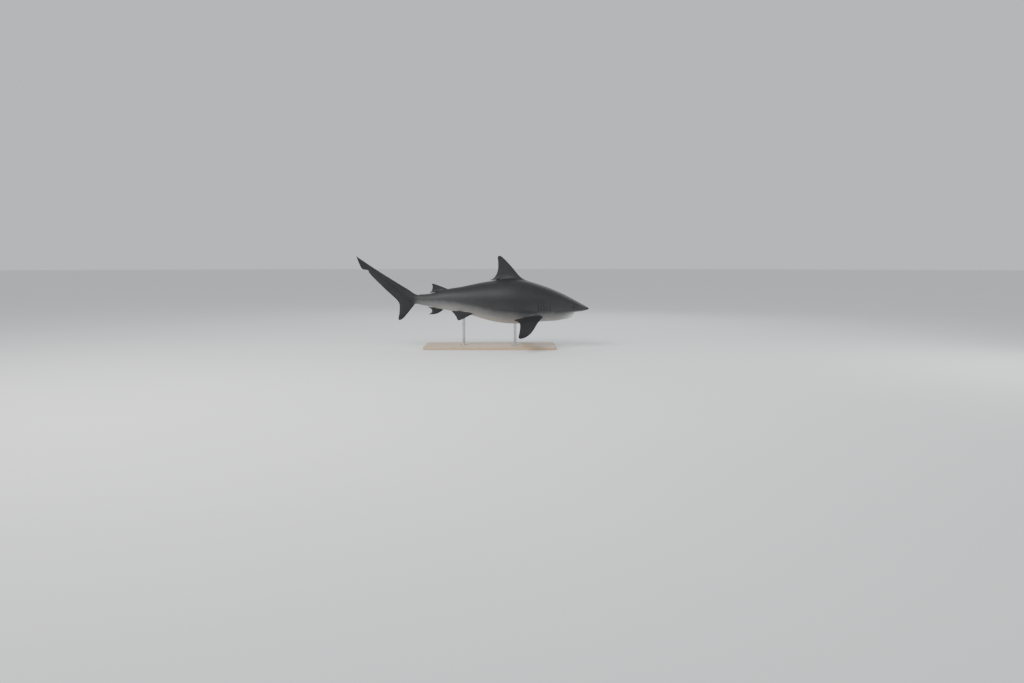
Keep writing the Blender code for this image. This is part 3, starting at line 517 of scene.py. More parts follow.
class Fin:
    """A fin's two faces as functions of t (row, from root to tip), a (share of the chord) and side."""

    def __init__(self, rows, thick, to_body):
        self.last = len(rows) - 1
        self.t = np.linspace(0, self.last, self.last * 60 + 1)
        self.front = through([r[0] for r in rows], self.t)
        self.rear = through([r[1] for r in rows], self.t)
        self.span = max(r[0][1] for r in rows)
        self.thick, self.to_body = thick, to_body

    def plane(self, t, a):
        t, a = np.broadcast_arrays(np.asarray(t, float), np.asarray(a, float))
        front = np.stack([np.interp(t, self.t, self.front[:, k]) for k in (0, 1)], -1)
        rear = np.stack([np.interp(t, self.t, self.rear[:, k]) for k in (0, 1)], -1)
        # the last row closes in a round tip
        u = np.clip(t - (self.last - 1), 0, 1)
        swell = np.maximum(1 - u, 1e-6) ** (-0.5 * smooth(u, 0.0, 1.0))
        middle, half = (front + rear) / 2, (rear - front) / 2 * swell[..., None]
        front, rear = middle - half, middle + half
        return front, rear, front + (rear - front) * a[..., None]

    def half(self, t, a):
        root, tip, flare, reach = self.thick
        front, rear, here = self.plane(t, a)
        t, a = np.broadcast_arrays(np.asarray(t, float), np.asarray(a, float))
        high = np.clip(here[..., 1] / self.span, 0, 1)
        half = root + (tip - root) * high**0.8
        length = np.linalg.norm(rear - front, axis=-1)
        half = half * np.minimum(1.0, (length / (0.35 * self.span)) ** 0.7) * foil(a)
        half = half * (1 + flare * np.exp(-here[..., 1] / reach))
        half = half * (1 - 0.72 * np.clip(t - (self.last - 1), 0, 1) ** 1.3)
        edge = np.clip(np.minimum(a, 1 - a) * np.maximum(length, 1e-6) / 0.05, 0, 1) ** 0.5
        return np.maximum(half, 0.03 * edge) * np.where((a <= 0) | (a >= 1), 0.0, 1.0)

    def point(self, t, a, side):
        t, a = np.broadcast_arrays(np.asarray(t, float), np.asarray(a, float))
        here = self.plane(t, a)[2]
        return self.to_body(here[..., 0], here[..., 1], self.half(t, a) * side)

    def start(self, a, height):
        """The row at which the fin stands this high at each share of the chord."""
        out = []
        for share, want in zip(a, height):
            span = np.maximum.accumulate(self.plane(self.t, share)[2][:, 1])
            out.append(np.interp(want, span, self.t))
        return np.array(out)


def median_fin(sign):
    def to_body(along, span, side):
        base = at(0, along) if sign > 0 else at(1, along)
        return np.stack([-along, side, base + sign * span], -1)

    return to_body


def paired_fin(station, below, droop, slope):
    """The left fin of a pair, as in the solids."""
    droop, slope = math.radians(droop), math.radians(slope)
    outward = np.array([0.0, math.cos(droop), -math.sin(droop)])
    rearward = np.array([-math.cos(slope), 0.0, -math.sin(slope)])
    normal = np.cross(rearward, outward)
    normal *= math.copysign(1, normal[2]) / np.linalg.norm(normal)
    angle = math.radians(-below)
    origin = section(station, angle)

    def to_body(along, span, side):
        follow = section(station + along, angle)
        level = origin + along[..., None] * rearward
        keep = np.clip(1 - span / 3.0, 0, 1)[..., None] ** 2
        return level + (follow - level) * keep + span[..., None] * outward + side[..., None] * normal

    return to_body


def chord(cells):
    t = np.linspace(0, 1, cells + 1)
    return 0.45 * t**1.9 + 0.55 * (1 - np.cos(np.pi * t)) / 2


def fin_patch(fin, cells, counts, paired, lead, middle, trail, sign=1, kind=1.0):
    """Adds a fin whose root spreads into the body. lead, middle and trail are (spread over the body, height of the
    curve that joins them) at the front, over the middle and at the rear of the root. Returns the root outline."""
    a = chord(cells)
    if paired:
        share = np.concatenate([a, a[-2:0:-1]])
        side = np.concatenate([np.ones(cells + 1), -np.ones(cells - 1)])
    else:
        share, side = a, np.ones(cells + 1)
    blend_front, blend_rear = 1 - smooth(share, 0, 0.22), smooth(share, 0.72, 1.0)
    mix = [m + (f - m) * blend_front + (r - m) * blend_rear for f, m, r in zip(lead, middle, trail)]
    spread, height = mix
    begin = fin.start(share, height)

    root = fin.point(np.zeros_like(share), share, side)
    s = -root[:, 0]
    if paired:
        angle = angle_of(root)
    else:
        cosine = np.clip(np.abs(root[:, 1]) / at(2, s), 0, 1) ** (at(4 if sign > 0 else 5, s) / 2)
        angle = np.arccos(cosine) * sign
    control = section(s, angle)
    here = flat(s, angle)
    if paired:
        way = np.roll(here, -1, 0) - np.roll(here, 1, 0)
    else:
        way = np.gradient(here, axis=0)
    way /= np.linalg.norm(way, axis=1)[:, None] + 1e-12
    out = np.stack([way[:, 1], -way[:, 0]], -1)
    inner = here.mean(0)
    out *= np.sign(((here - inner) * out).sum(1).mean())
    foot = here + out * spread[:, None]
    if paired:
        for _ in range(3):
            foot = 0.5 * foot + 0.25 * (np.roll(foot, 1, 0) + np.roll(foot, -1, 0))
    fs, fa = unflat(foot)
    if not paired:
        edge = math.pi / 2 * sign
        fs[0], fs[-1] = s[0] - spread[0], s[-1] + spread[-1]
        fa[0] = fa[-1] = edge
    rim = body_points(fs, fa, s_fin=np.zeros(len(share)))
    start = fin.point(begin, share, side)
    # at the front, the curve runs on in line with the leading edge
    more_ = begin + 0.25
    rise = fin.plane(more_, share)[2][:, 1] - fin.plane(begin, share)[2][:, 1]
    ahead = start - (fin.point(more_, share, side) - start) * (fin.plane(begin, share)[2][:, 1] / np.maximum(rise, 1e-3))[:, None]
    lead_on = (1 - smooth(share, 0.0, 0.22))[:, None] * 0.9
    control = control + (ahead - control) * lead_on

    rows = [rim]
    steps = 7
    base = section(fs, fa)
    for i in range(1, steps):
        u = i / steps
        p = (1 - u) ** 2 * base + 2 * u * (1 - u) * control + u * u * start
        pale = np.where(side < 0, smooth(share, 0.0, 0.12) * (1 - smooth(share, 0.88, 1.0)), 0.0)
        rows.append(
            skin.add(
                p, fin=np.full(len(share), kind * float(smooth(u, 0, 1))), u=share, v=np.zeros(len(share)),
                s=-p[:, 0], under=pale,
            )
        )
    t = [0.0]
    for i, n in enumerate(counts[:-1]):
        t += [i + (j + 1) / n for j in range(n)]
    t += [fin.last - (1 - (j + 1) / counts[-1]) ** 2 for j in range(counts[-1] - 1)]
    for one in t:
        row = one + begin * (1 - one / fin.last) ** 1.5
        p = fin.point(row, share, side)
        high = np.clip(fin.plane(row, share)[2][:, 1] / fin.span, 0, 1)
        pale = np.where(side < 0, smooth(share, 0.0, 0.12) * (1 - smooth(share, 0.88, 1.0)), 0.0)
        rows.append(skin.add(p, fin=np.full(len(share), kind), u=share, v=high, s=-p[:, 0], under=pale))
    skin.grid(np.array(rows), closed=paired)
    tip = fin.point(np.array([float(fin.last)]), np.array([0.0]), np.array([1.0]))
    tip = skin.add(tip, fin=[kind], u=[0.5], v=[1.0], s=-tip[:, 0])[0]
    last = rows[-1]
    count = len(last) if paired else len(last) - 1
    skin.faces += [(int(last[k]), int(last[(k + 1) % len(last)]), int(tip)) for k in range(count)]
    return rim


# ---- tail fin -----------------------------------------------------------------------------------------------------
TAIL_CELLS = 44


def tail_fin(ring):
    """Rows that carry the body's last ring (from the back to the belly) on to the tip of the upper lobe."""
    counts = (6, 8, 8, 7, 6, 7, 7, 6, 6, 6, 7, 8, 8, 6, 4, 6, 6)
    t = [0.0]
    for i, n in enumerate(counts[:-1]):
        t += [i + (j + 1) / n for j in range(n)]
    t += [len(counts) - (1 - (j + 1) / counts[-1]) ** 2 for j in range(counts[-1])]
    t = np.array(t)
    upper = through([r[0] for r in CAUDAL_ROWS], t)
    lower = through([r[1] for r in CAUDAL_ROWS], t)
    muscle = through([r[2:5] for r in CAUDAL_ROWS], t)
    a = (1 - np.cos(np.pi * np.arange(TAIL_CELLS + 1) / TAIL_CELLS)) / 2
    rows = [ring]
    for one, up, low, (deep, half, web) in list(zip(t, upper, lower, muscle))[1:-1]:
        here = up[None, :] + (low - up)[None, :] * a[:, None]
        length = max(float(np.linalg.norm(low - up)), 1e-3)
        down = a * length
        deep = min(deep, length)
        rod = half * np.sqrt(np.clip(1 - ((down - deep / 2) / (deep / 2)) ** 2, 0, 1))
        blade = web * np.sqrt(np.clip(down / (0.3 * length), 0, 1))
        round_rear = np.sqrt(np.clip((length - down) / (0.16 * length), 0, 1))
        sharp_rear = np.clip((length - down) / (0.75 * length), 0, 1) ** 0.8
        front = float(1 - smooth(one, 4.6, 5.6))
        blade = blade * (round_rear * front + sharp_rear * (1 - front)) * float(smooth(one, 0, 0.8))
        width = (rod**3 + blade**3) ** (1 / 3) * (1 - 0.8 * float(np.clip(one - 16, 0, 1)) ** 1.3)
        rim = np.clip(np.minimum(a, 1 - a) * length / 0.06, 0, 1) ** 0.5
        width = np.maximum(width, 0.035 * rim)
        width[0] = width[-1] = 0.0
        p = np.column_stack([-here[:, 0], width, here[:, 1]])
        rows.append(
            skin.add(
                p, fin=np.full(len(a), 2 * float(smooth(one, 0.2, 2.0))) * smooth(a, 0.02, 0.3), u=a,
                v=np.full(len(a), one / 17), s=here[:, 0],
            )
        )
    skin.grid(np.array(rows))
    tip = skin.add([[-CAUDAL_ROWS[-1][0][0], 0.0, CAUDAL_ROWS[-1][0][1]]], fin=[2.0], u=[0.5], v=[1.0], s=[96.1])[0]
    last = rows[-1]
    skin.faces += [(int(last[k]), int(last[k + 1]), int(tip)) for k in range(len(last) - 1)]


# ---- half the skin, put together ------------------------------------------------------------------------------------
def inside(points, loop, chunk=4000):
    """Whether each point lies inside the closed polygon."""
    x0, y0 = loop[:, 0], loop[:, 1]
    x1, y1 = np.roll(x0, -1), np.roll(y0, -1)
    run = (x1 - x0) / np.where(y1 == y0, 1e-12, y1 - y0)
    out = np.zeros(len(points), bool)
    for i in range(0, len(points), chunk):
        px, py = points[i : i + chunk, :1], points[i : i + chunk, 1:]
        cross = ((y0 > py) != (y1 > py)) & (px < run * (py - y0) + x0)
        out[i : i + chunk] = cross.sum(1) % 2 == 1
    return out


def body_size(s):
    """Spacing of the fill's points at a station, in percent."""
    return 0.155 + 0.155 * smooth(s, 10, 23) - 0.12 * smooth(s, 60, 71)


def midline(first, last, upper, ends=(0.14, 0.14)):
    """Points along the back or the belly between two stations, without the ends."""
    reach, s, out = abs(last - first), 0.0, []
    while True:
        here = first + math.copysign(s, last - first)
        step = min(float(body_size(here)), ends[0] + 0.3 * s, ends[1] + 0.3 * max(reach - s, 0))
        s += step
        if s > reach - 0.3 * step:
            break
        out.append(s)
    if not out:
        return np.zeros(0, int)
    scale = reach / s
    s = first + np.sign(last - first) * np.array(out) * scale
    return body_points(s, np.full(len(s), math.pi / 2 if upper else -math.pi / 2))


def half_skin():
    eye_patch()
    nostril_patch()
    for number, (station, high, middle) in enumerate(zip(GILL_STATIONS, GILL_HEIGHTS, GILL_MIDDLES)):
        gill_patch(number, station, high, middle)
    mouth = mouth_patch()

    pectoral = Fin(PECTORAL_ROWS, PECTORAL_THICK, paired_fin(*PECTORAL))
    outline(fin_patch(pectoral, 34, (4, 4, 5, 4, 5, 5, 5, 5, 5, 5, 6), True, (0.85, 1.0), (0.50, 0.75), (0.22, 0.22)))
    pelvic = Fin(PELVIC_ROWS, SMALL_THICK, paired_fin(*PELVIC))
    outline(fin_patch(pelvic, 22, (5, 5, 5, 4, 4, 4, 5), True, (0.50, 0.42), (0.32, 0.36), (0.14, 0.14), kind=1.0))
    first = fin_patch(
        Fin(DORSAL_ROWS, DORSAL_THICK, median_fin(1)), 40, (4, 4, 5, 4, 5, 5, 5, 5, 4, 5, 6), False,
        (2.30, 1.75), (0.75, 1.00), (0.22, 0.17), sign=1,
    )
    second = fin_patch(
        Fin(SECOND_DORSAL_ROWS, SMALL_THICK, median_fin(1)), 26, (5, 5, 5, 4, 4, 4, 4, 5), False,
        (0.45, 0.45), (0.30, 0.36), (0.14, 0.13), sign=1,
    )
    anal = fin_patch(
        Fin(ANAL_ROWS, SMALL_THICK, median_fin(-1)), 26, (5, 5, 5, 4, 4, 4, 4, 5), False,
        (0.45, 0.45), (0.30, 0.36), (0.14, 0.13), sign=-1,
    )

    # Tail edge, back to belly, then the tail fin; snout edge, belly to back, then the tip of the snout.
    angle = math.pi / 2 - np.pi * np.arange(TAIL_CELLS + 1) / TAIL_CELLS
    tail = body_points(np.full(len(angle), S_LAST), angle)
    tail_fin(tail)
    columns = 44
    snout = unflat(np.stack([np.zeros(columns + 1), (np.linspace(0, 1, columns + 1) - 0.5) * GIRTH[0]], -1))[1]
    snout[0], snout[-1] = -math.pi / 2, math.pi / 2
    nose = body_points(np.full(columns + 1, S_FIRST), snout)
    rows = [nose]
    for i in range(7, 0, -1):
        s = S_FIRST * (i / 8) ** 2
        rows.append(skin.add(section(s, snout), s=np.full(len(snout), s)))
    skin.grid(np.array(rows))
    tip = skin.add([[0.0, 0.0, float(at(0, 0.0))]], s=[0.0])[0]
    skin.faces += [(int(rows[-1][k]), int(rows[-1][k + 1]), int(tip)) for k in range(columns)]

    stations = -np.vstack(skin.rest)[:, 0]

    def station(k):
        return float(stations[k])

    chain = [nose[:1]]
    chain.append(midline(S_FIRST, station(mouth[0, 0]), False, (0.12, 0.12)))
    chain += [mouth[0], mouth[1:, -1], mouth[-1, -2::-1]]
    chain.append(midline(station(mouth[-1, 0]), station(anal[0]), False, (0.12, 0.12)))
    chain.append(anal)
    chain.append(midline(station(anal[-1]), S_LAST, False, (0.10, 0.12)))
    chain.append(tail[::-1])
    chain.append(midline(S_LAST, station(second[-1]), True, (0.12, 0.10)))
    chain.append(second[::-1])
    chain.append(midline(station(second[0]), station(first[-1]), True, (0.12, 0.12)))
    chain.append(first[::-1])
    chain.append(midline(station(first[0]), S_FIRST, True, (0.16, 0.12)))
    chain.append(nose[:0:-1])
    chain = np.concatenate(chain)

    where = np.vstack(skin.flat)
    loops = [chain, *holes]
    edge_points = np.concatenate([where[loop] for loop in loops])
    gaps = []
    for loop in loops:
        p = where[loop]
        step = np.linalg.norm(np.roll(p, -1, 0) - p, axis=1)
        gaps.append((step + np.roll(step, 1)) / 2)
    gaps = np.concatenate(gaps)
    near = kdtree.KDTree(len(edge_points))
    for i, (x, y) in enumerate(edge_points):
        near.insert((x, y, 0.0), i)
    near.balance()

    # Points of the fill: squares split until each is as small as its surroundings need.
    size = 1.26
    reach = GIRTH.max() / 2
    xs = np.arange(RUN[0] + size / 2, RUN[-1], size)
    ys = np.arange(-reach + size / 2, reach, size)
    cells = np.stack(np.meshgrid(xs, ys, indexing="ij"), -1).reshape(-1, 2)
    kept = []
    while len(cells) and size > 0.05:
        s = np.interp(cells[:, 0], RUN, S_GRID)
        want, away = body_size(s), np.empty(len(cells))
        for i, (x, y) in enumerate(cells):
            _, k, away[i] = near.find((x, y, 0.0))
            want[i] = min(want[i], 1.15 * gaps[k] + 0.36 * away[i])
        done = size <= 1.02 * want
        keep = done & (away > 0.62 * want)
        kept.append(cells[keep])
        rest = cells[~done]
        size /= 2
        cells = (rest[:, None, :] + np.array([(-0.5, -0.5), (-0.5, 0.5), (0.5, -0.5), (0.5, 0.5)]) * size).reshape(-1, 2)
    fill = np.vstack(kept)
    ok = inside(fill, where[chain])
    for loop in holes:
        ok &= ~inside(fill, where[loop])
    fill = fill[ok]
    s, a = unflat(fill)
    added = body_points(s, a)

    ids = np.concatenate([np.concatenate(loops), added])
    coords = np.vstack([edge_points, fill])
    edges, first_of = [], 0
    for loop in loops:
        n = len(loop)
        edges += [(first_of + k, first_of + (k + 1) % n) for k in range(n)]
        first_of += n
    out = delaunay_2d_cdt([Vector(c) for c in coords], edges, [], 0, 1e-9)
    verts = np.array([v[:] for v in out[0]])
    source = [o[0] if o else -1 for o in out[3]]
    if min(source) < 0:
        raise RuntimeError("two outlines of the skin cross")
    faces = np.array([f for f in out[2] if len(f) == 3])
    middle = verts[faces].mean(1)
    ok = inside(middle, where[chain])
    for loop in holes:
        ok &= ~inside(middle, where[loop])
    faces = ids[np.array(source)[faces[ok]]]
    skin.faces += [tuple(f) for f in faces.tolist()]


half_skin()
NAMES = ("s", "crevice", "lid", "fin", "u", "v", "under", "behind", "known")
rest, layout, push, slide, more = skin.result(NAMES)


# ---- jaw, pits and other shapes that the whole surface takes ------------------------------------------------------------
def jaw_shift(p, behind, known):
    """How far the underside hangs down with the lower jaw, whose rounded lip rises out of the mouth's crease."""
    s, y = -p[:, 0], np.abs(p[:, 1])
    off = s - mouth_line(y)
    away = np.where(known > 0.5, behind, off / np.hypot(1, mouth_slope(y)))
    side = np.clip(1 - (y / (MOUTH_HALF + 1.0)) ** 2, 0, 1) ** 0.8
    under = np.clip((at(3, s) - p[:, 2]) / (at(3, s) - at(1, s) + 1e-9), 0, 1) ** 1.5
    rise = 0.42 + 0.58 * (1 - np.exp(-np.clip(off + 0.2, 0, None) / 1.0))
    wide = LIP + 3.0 * np.clip(y - 4.5, 0, None)
    t = np.clip(away / wide, 0, 1)
    return jaw_drop(np.clip(s, 5, 22)) * side * under * rise * np.sqrt(1 - (1 - t) ** 2)


def whole(values, sign=1):
    return np.concatenate([values, sign * values[other]])


on_middle = np.abs(rest[:, 1]) < 1e-6
rest[on_middle, 1] = 0.0
other = np.nonzero(~on_middle)[0]
number = np.arange(len(rest))
number[other] = len(rest) + np.arange(len(other))
full = np.vstack([rest, rest[other] * (1, -1, 1)])
faces = skin.faces + [tuple(int(number[k]) for k in reversed(f)) for f in skin.faces]

mesh = bpy.data.meshes.new("shark_skin")
mesh.from_pydata(full.tolist(), [], faces)
work = bmesh.new()
work.from_mesh(mesh)
bmesh.ops.recalc_face_normals(work, faces=work.faces)
if work.calc_volume(signed=True) < 0:
    bmesh.ops.reverse_faces(work, faces=work.faces)
open_edges = sum(1 for e in work.edges if len(e.link_faces) != 2)
work.to_mesh(mesh)
work.free()
normals = np.empty(len(full) * 3, np.float32)
mesh.vertex_normals.foreach_get("vector", normals)
normals = normals.reshape(-1, 3).astype(float)
print("skin", len(full), "points", sum(len(f) - 2 for f in faces), "triangles", open_edges, "open edges")

def pit(p):
    """The crescent pits just before the tail fin's upper and lower origin."""
    s, y, z = -p[:, 0], p[:, 1], p[:, 2]
    upper = np.exp(-((y / 0.75) ** 4)) * (z > 0.5)
    lower = np.exp(-((y / 0.50) ** 4)) * (z < -0.5)
    bend = 0.25 * (y / 0.6) ** 2
    run = smooth(s + bend, 69.3, 70.95) * (1 - smooth(s + bend, 71.05, 71.42))
    return run * (0.26 * upper + 0.13 * lower)


lift = whole(push) - pit(full)
shaped = full + normals * lift[:, None]
shaped[:, 2] -= whole(jaw_shift(rest, more["behind"], more["known"]))
shaped[: len(rest)][on_middle, 1] = 0.0

rod = (np.array(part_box("stand_rod_front")[0]) + np.array(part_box("stand_rod_front")[1])) / 2
CENTRE = (rod - place(section(30.0, -math.pi / 2)[None])[0])[:2]
placed = place(shaped, CENTRE)
mesh.vertices.foreach_set("co", placed.astype(np.float32).ravel())
mesh.shade_smooth()
mesh.update()
body = bpy.data.objects.new("shark_skin", mesh)
bpy.context.scene.collection.objects.link(body)
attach(body, "root")
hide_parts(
    "head", "lower_jaw", "trunk", "tail", "caudal_fin_upper", "caudal_fin_lower", "dorsal_fin_first",
    "dorsal_fin_second", "anal_fin", "pectoral_fin_left", "pectoral_fin_right", "pelvic_fin_left", "pelvic_fin_right",
)


def attribute(name, values):
    mesh.attributes.new(name, "FLOAT", "POINT").data.foreach_set("value", np.asarray(values, np.float32))


mesh.attributes.new("straight", "FLOAT_VECTOR", "POINT").data.foreach_set(
    "vector", (shaped * PCT).astype(np.float32).ravel()
)
for name in ("crevice", "lid", "u", "v"):
    attribute(name, whole(more[name]))
station_of = -full[:, 0]
kind_of = whole(more["fin"])
onto_tail = smooth(station_of + 0.9 * np.clip(-full[:, 2] - 2.0, 0, 4), 68.6, 74.2)
attribute("fin", np.where(station_of > 67.5, onto_tail, kind_of))
flank = np.clip(station_of, 0, 80)
attribute("lateral", full[:, 2] - (at(3, flank) + 0.30 * (at(0, flank) - at(3, flank))))

# ---- markings and painted shade as fields over the skin: dark above, pale below ------------------------------------
# where the dark hide ends on the flank: partly the real countershading, partly painted shade, as the edge is set lower
# along the flank than the markings alone
EDGE = (
    (0.0, -0.25), (3.0, -0.80), (6.0, -1.30), (10.0, -2.10), (14.0, -2.5), (18.0, -2.9), (23.0, -3.9), (28.0, -4.4),
    (34.0, -4.2), (40.0, -3.4), (46.0, -2.4), (52.0, -1.4), (58.0, -0.8), (64.0, -0.9), (72.0, -1.2), (80.0, -3.0),
)
edge_of = spline([e[0] for e in EDGE], [e[1] for e in EDGE])
over = full[:, 2] - edge_of(np.clip(station_of, 0, 80))
# on the head the dark hide ends at the margin of the flat underside
head_share = 1 - smooth(station_of, 7.0, 17.0)
on_head = station_of < 17.0
margin = np.zeros(len(full))
margin[on_head] = 0.085 * (np.degrees(angle_of(np.minimum(full[on_head], (-0.02, 99, 99)))) + 34.0)
over = over + (margin - over) * head_share
# the dark hide wraps round the very tip of the snout
over = over + 6.0 * (1 - smooth(station_of, 0.1, 1.5))
attribute("over", over)
attribute("station", station_of)
attribute("under", whole(more["under"]))


# ---- eyes ----------------------------------------------------------------------------------------------------------
def eyeball(side, sign):
    angle = EYE_ANGLE if sign > 0 else math.pi - EYE_ANGLE
    here = section(EYE_STATION, EYE_ANGLE) * (1, sign, 1)
    ahead = (section(EYE_STATION - 0.2, EYE_ANGLE) - section(EYE_STATION + 0.2, EYE_ANGLE)) * (1, sign, 1)
    above = (section(EYE_STATION, EYE_ANGLE + 0.04) - section(EYE_STATION, EYE_ANGLE - 0.04)) * (1, sign, 1)
    out = np.cross(ahead, above)
    out *= math.copysign(1, out[1] * sign) / np.linalg.norm(out)
    ahead /= np.linalg.norm(ahead)
    up = np.cross(out, ahead)
    up *= math.copysign(1, up[2])
    centre = here - out * (EYE_RADIUS - EYE_PROUD)
    rings, around = 40, 64
    turn = 2 * np.pi * np.arange(around) / around
    points, local = [], []
    for i in range(1, rings):
        tilt = math.pi * (i / rings) ** 1.25
        r, h = math.sin(tilt), math.cos(tilt)
        bulge = 1 + 0.012 * float(1 - smooth(r, 0.30, 0.55)) * (1 if h > 0 else 0)
        local.append(np.stack([r * np.cos(turn) * bulge, r * np.sin(turn) * bulge, np.full(around, h * bulge)], -1))
    local = np.vstack([*local, [[0, 0, 1.012]], [[0, 0, -1.0]]])
    points = centre + (EYE_RADIUS - 0.004) * (
        local[:, :1] * ahead + local[:, 1:2] * up + local[:, 2:] * out
    )
    index = np.arange((rings - 1) * around).reshape(rings - 1, around)
    faces = []
    for i in range(rings - 2):
        for k in range(around):
            m = (k + 1) % around
            faces.append((index[i, k], index[i, m], index[i + 1, m], index[i + 1, k]))
    top, low = len(points) - 2, len(points) - 1
    for k in range(around):
        m = (k + 1) % around
        faces += [(index[0, m], index[0, k], top), (index[-1, k], index[-1, m], low)]
    data = bpy.data.meshes.new(f"eyeball_{side}")
    data.from_pydata(place(points, CENTRE).tolist(), [], [tuple(int(v) for v in f) for f in faces])
    tidy = bmesh.new()
    tidy.from_mesh(data)
    bmesh.ops.recalc_face_normals(tidy, faces=tidy.faces)
    tidy.to_mesh(data)
    tidy.free()
    data.shade_smooth()
    data.attributes.new("local", "FLOAT_VECTOR", "POINT").data.foreach_set("vector", local.astype(np.float32).ravel())
    obj = bpy.data.objects.new(f"eyeball_{side}", data)
    bpy.context.scene.collection.objects.link(obj)
    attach(obj, "root")
    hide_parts(f"eye_{side}")
    return obj


eyes = [eyeball("left", 1), eyeball("right", -1)]


# ---- stand ---------------------------------------------------------------------------------------------------------
def lathe(name, centre, profile_, around, node):
    """A turned piece: profile_ is (radius, height) from the axis at the bottom to the axis at the top."""
    turn = 2 * np.pi * np.arange(around) / around
    points, faces, rows = [], [], []
    for r, z in profile_:
        if r < 1e-9:
            rows.append([len(points)])
            points.append((centre[0], centre[1], z))
        else:
            rows.append(list(range(len(points), len(points) + around)))
            points += [(centre[0] + r * math.cos(t), centre[1] + r * math.sin(t), z) for t in turn]
    for low, high in zip(rows[:-1], rows[1:]):
        for k in range(around):
            m = (k + 1) % around
            if len(low) == 1:
                faces.append((low[0], high[m], high[k]))
            elif len(high) == 1:
                faces.append((low[k], low[m], high[0]))
            else:
                faces.append((low[k], low[m], high[m], high[k]))
    data = bpy.data.meshes.new(name)
    data.from_pydata(points, [], faces)
    tidy = bmesh.new()
    tidy.from_mesh(data)
    bmesh.ops.recalc_face_normals(tidy, faces=tidy.faces)
    tidy.to_mesh(data)
    tidy.free()
    data.shade_smooth()
    data.set_sharp_from_angle(angle=math.radians(40))
    obj = bpy.data.objects.new(name, data)
    bpy.context.scene.collection.objects.link(obj)
    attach(obj, "root")
    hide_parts(node)
    return obj


def rounded(low, high, radius, edge, steps=5):
    """Profile of a disc with rounded upper rim."""
    out = [(0, low), (radius, low), (radius, high - edge)]
    out += [
        (radius - edge + edge * math.cos(math.pi / 2 * i / steps), high - edge + edge * math.sin(math.pi / 2 * i / steps))
        for i in range(1, steps + 1)
    ]
    return out


steel_pieces = []
for where, station in (("front", 30.0), ("rear", 51.5)):
    low, high = (np.array(c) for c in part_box(f"stand_collar_{where}"))
    middle = (low + high) / 2
    radius = (high[0] - low[0]) / 2
    ring = rounded(low[2], high[2], radius, 0.0035)
    steel_pieces.append(lathe(f"stand_flange_{where}", middle, [*ring, (0, high[2])], 96, f"stand_collar_{where}"))
    low, high = (np.array(c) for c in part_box(f"stand_rod_{where}"))
    belly = place(section(station, -math.pi / 2)[None], CENTRE)[0]
    steel_pieces.append(
        lathe(
            f"stand_post_{where}", (low + high) / 2,
            [(0, low[2]), (0.014, low[2]), (0.014, belly[2] + 0.004), (0, belly[2] + 0.004)], 64, f"stand_rod_{where}",
        )
    )


def board():
    low, high = (np.array(c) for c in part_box("stand_base"))
    corner, edge, steps, turns = 0.060, 0.005, 5, 20
    rings = [(0.0012, low[2]), (0.0, low[2] + 0.0012)]
    rings += [
        (edge * (1 - math.cos(math.pi / 2 * i / steps)), high[2] - edge + edge * math.sin(math.pi / 2 * i / steps))
        for i in range(steps + 1)
    ]
    points, faces = [], []
    for inset, z in rings:
        for cx, cy, start in ((1, 1, 0), (-1, 1, 90), (-1, -1, 180), (1, -1, 270)):
            hub = (
                (high[0] - corner) if cx > 0 else (low[0] + corner),
                (high[1] - corner) if cy > 0 else (low[1] + corner),
            )
            for i in range(turns + 1):
                t = math.radians(start + 90 * i / turns)
                points.append((hub[0] + (corner - inset) * math.cos(t), hub[1] + (corner - inset) * math.sin(t), z))
    n = 4 * (turns + 1)
    for i in range(len(rings) - 1):
        faces += [(i * n + k, i * n + (k + 1) % n, (i + 1) * n + (k + 1) % n, (i + 1) * n + k) for k in range(n)]
    faces += [tuple(reversed(range(n))), tuple((len(rings) - 1) * n + k for k in range(n))]
    data = bpy.data.meshes.new("stand_board")
    data.from_pydata(points, [], faces)
    tidy = bmesh.new()
    tidy.from_mesh(data)
    bmesh.ops.recalc_face_normals(tidy, faces=tidy.faces)
    tidy.to_mesh(data)
    tidy.free()
    data.shade_smooth()
    data.set_sharp_from_angle(angle=math.radians(35))
    obj = bpy.data.objects.new("stand_board", data)
    bpy.context.scene.collection.objects.link(obj)
    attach(obj, "root")
    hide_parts("stand_base")
    return obj


plank = board()


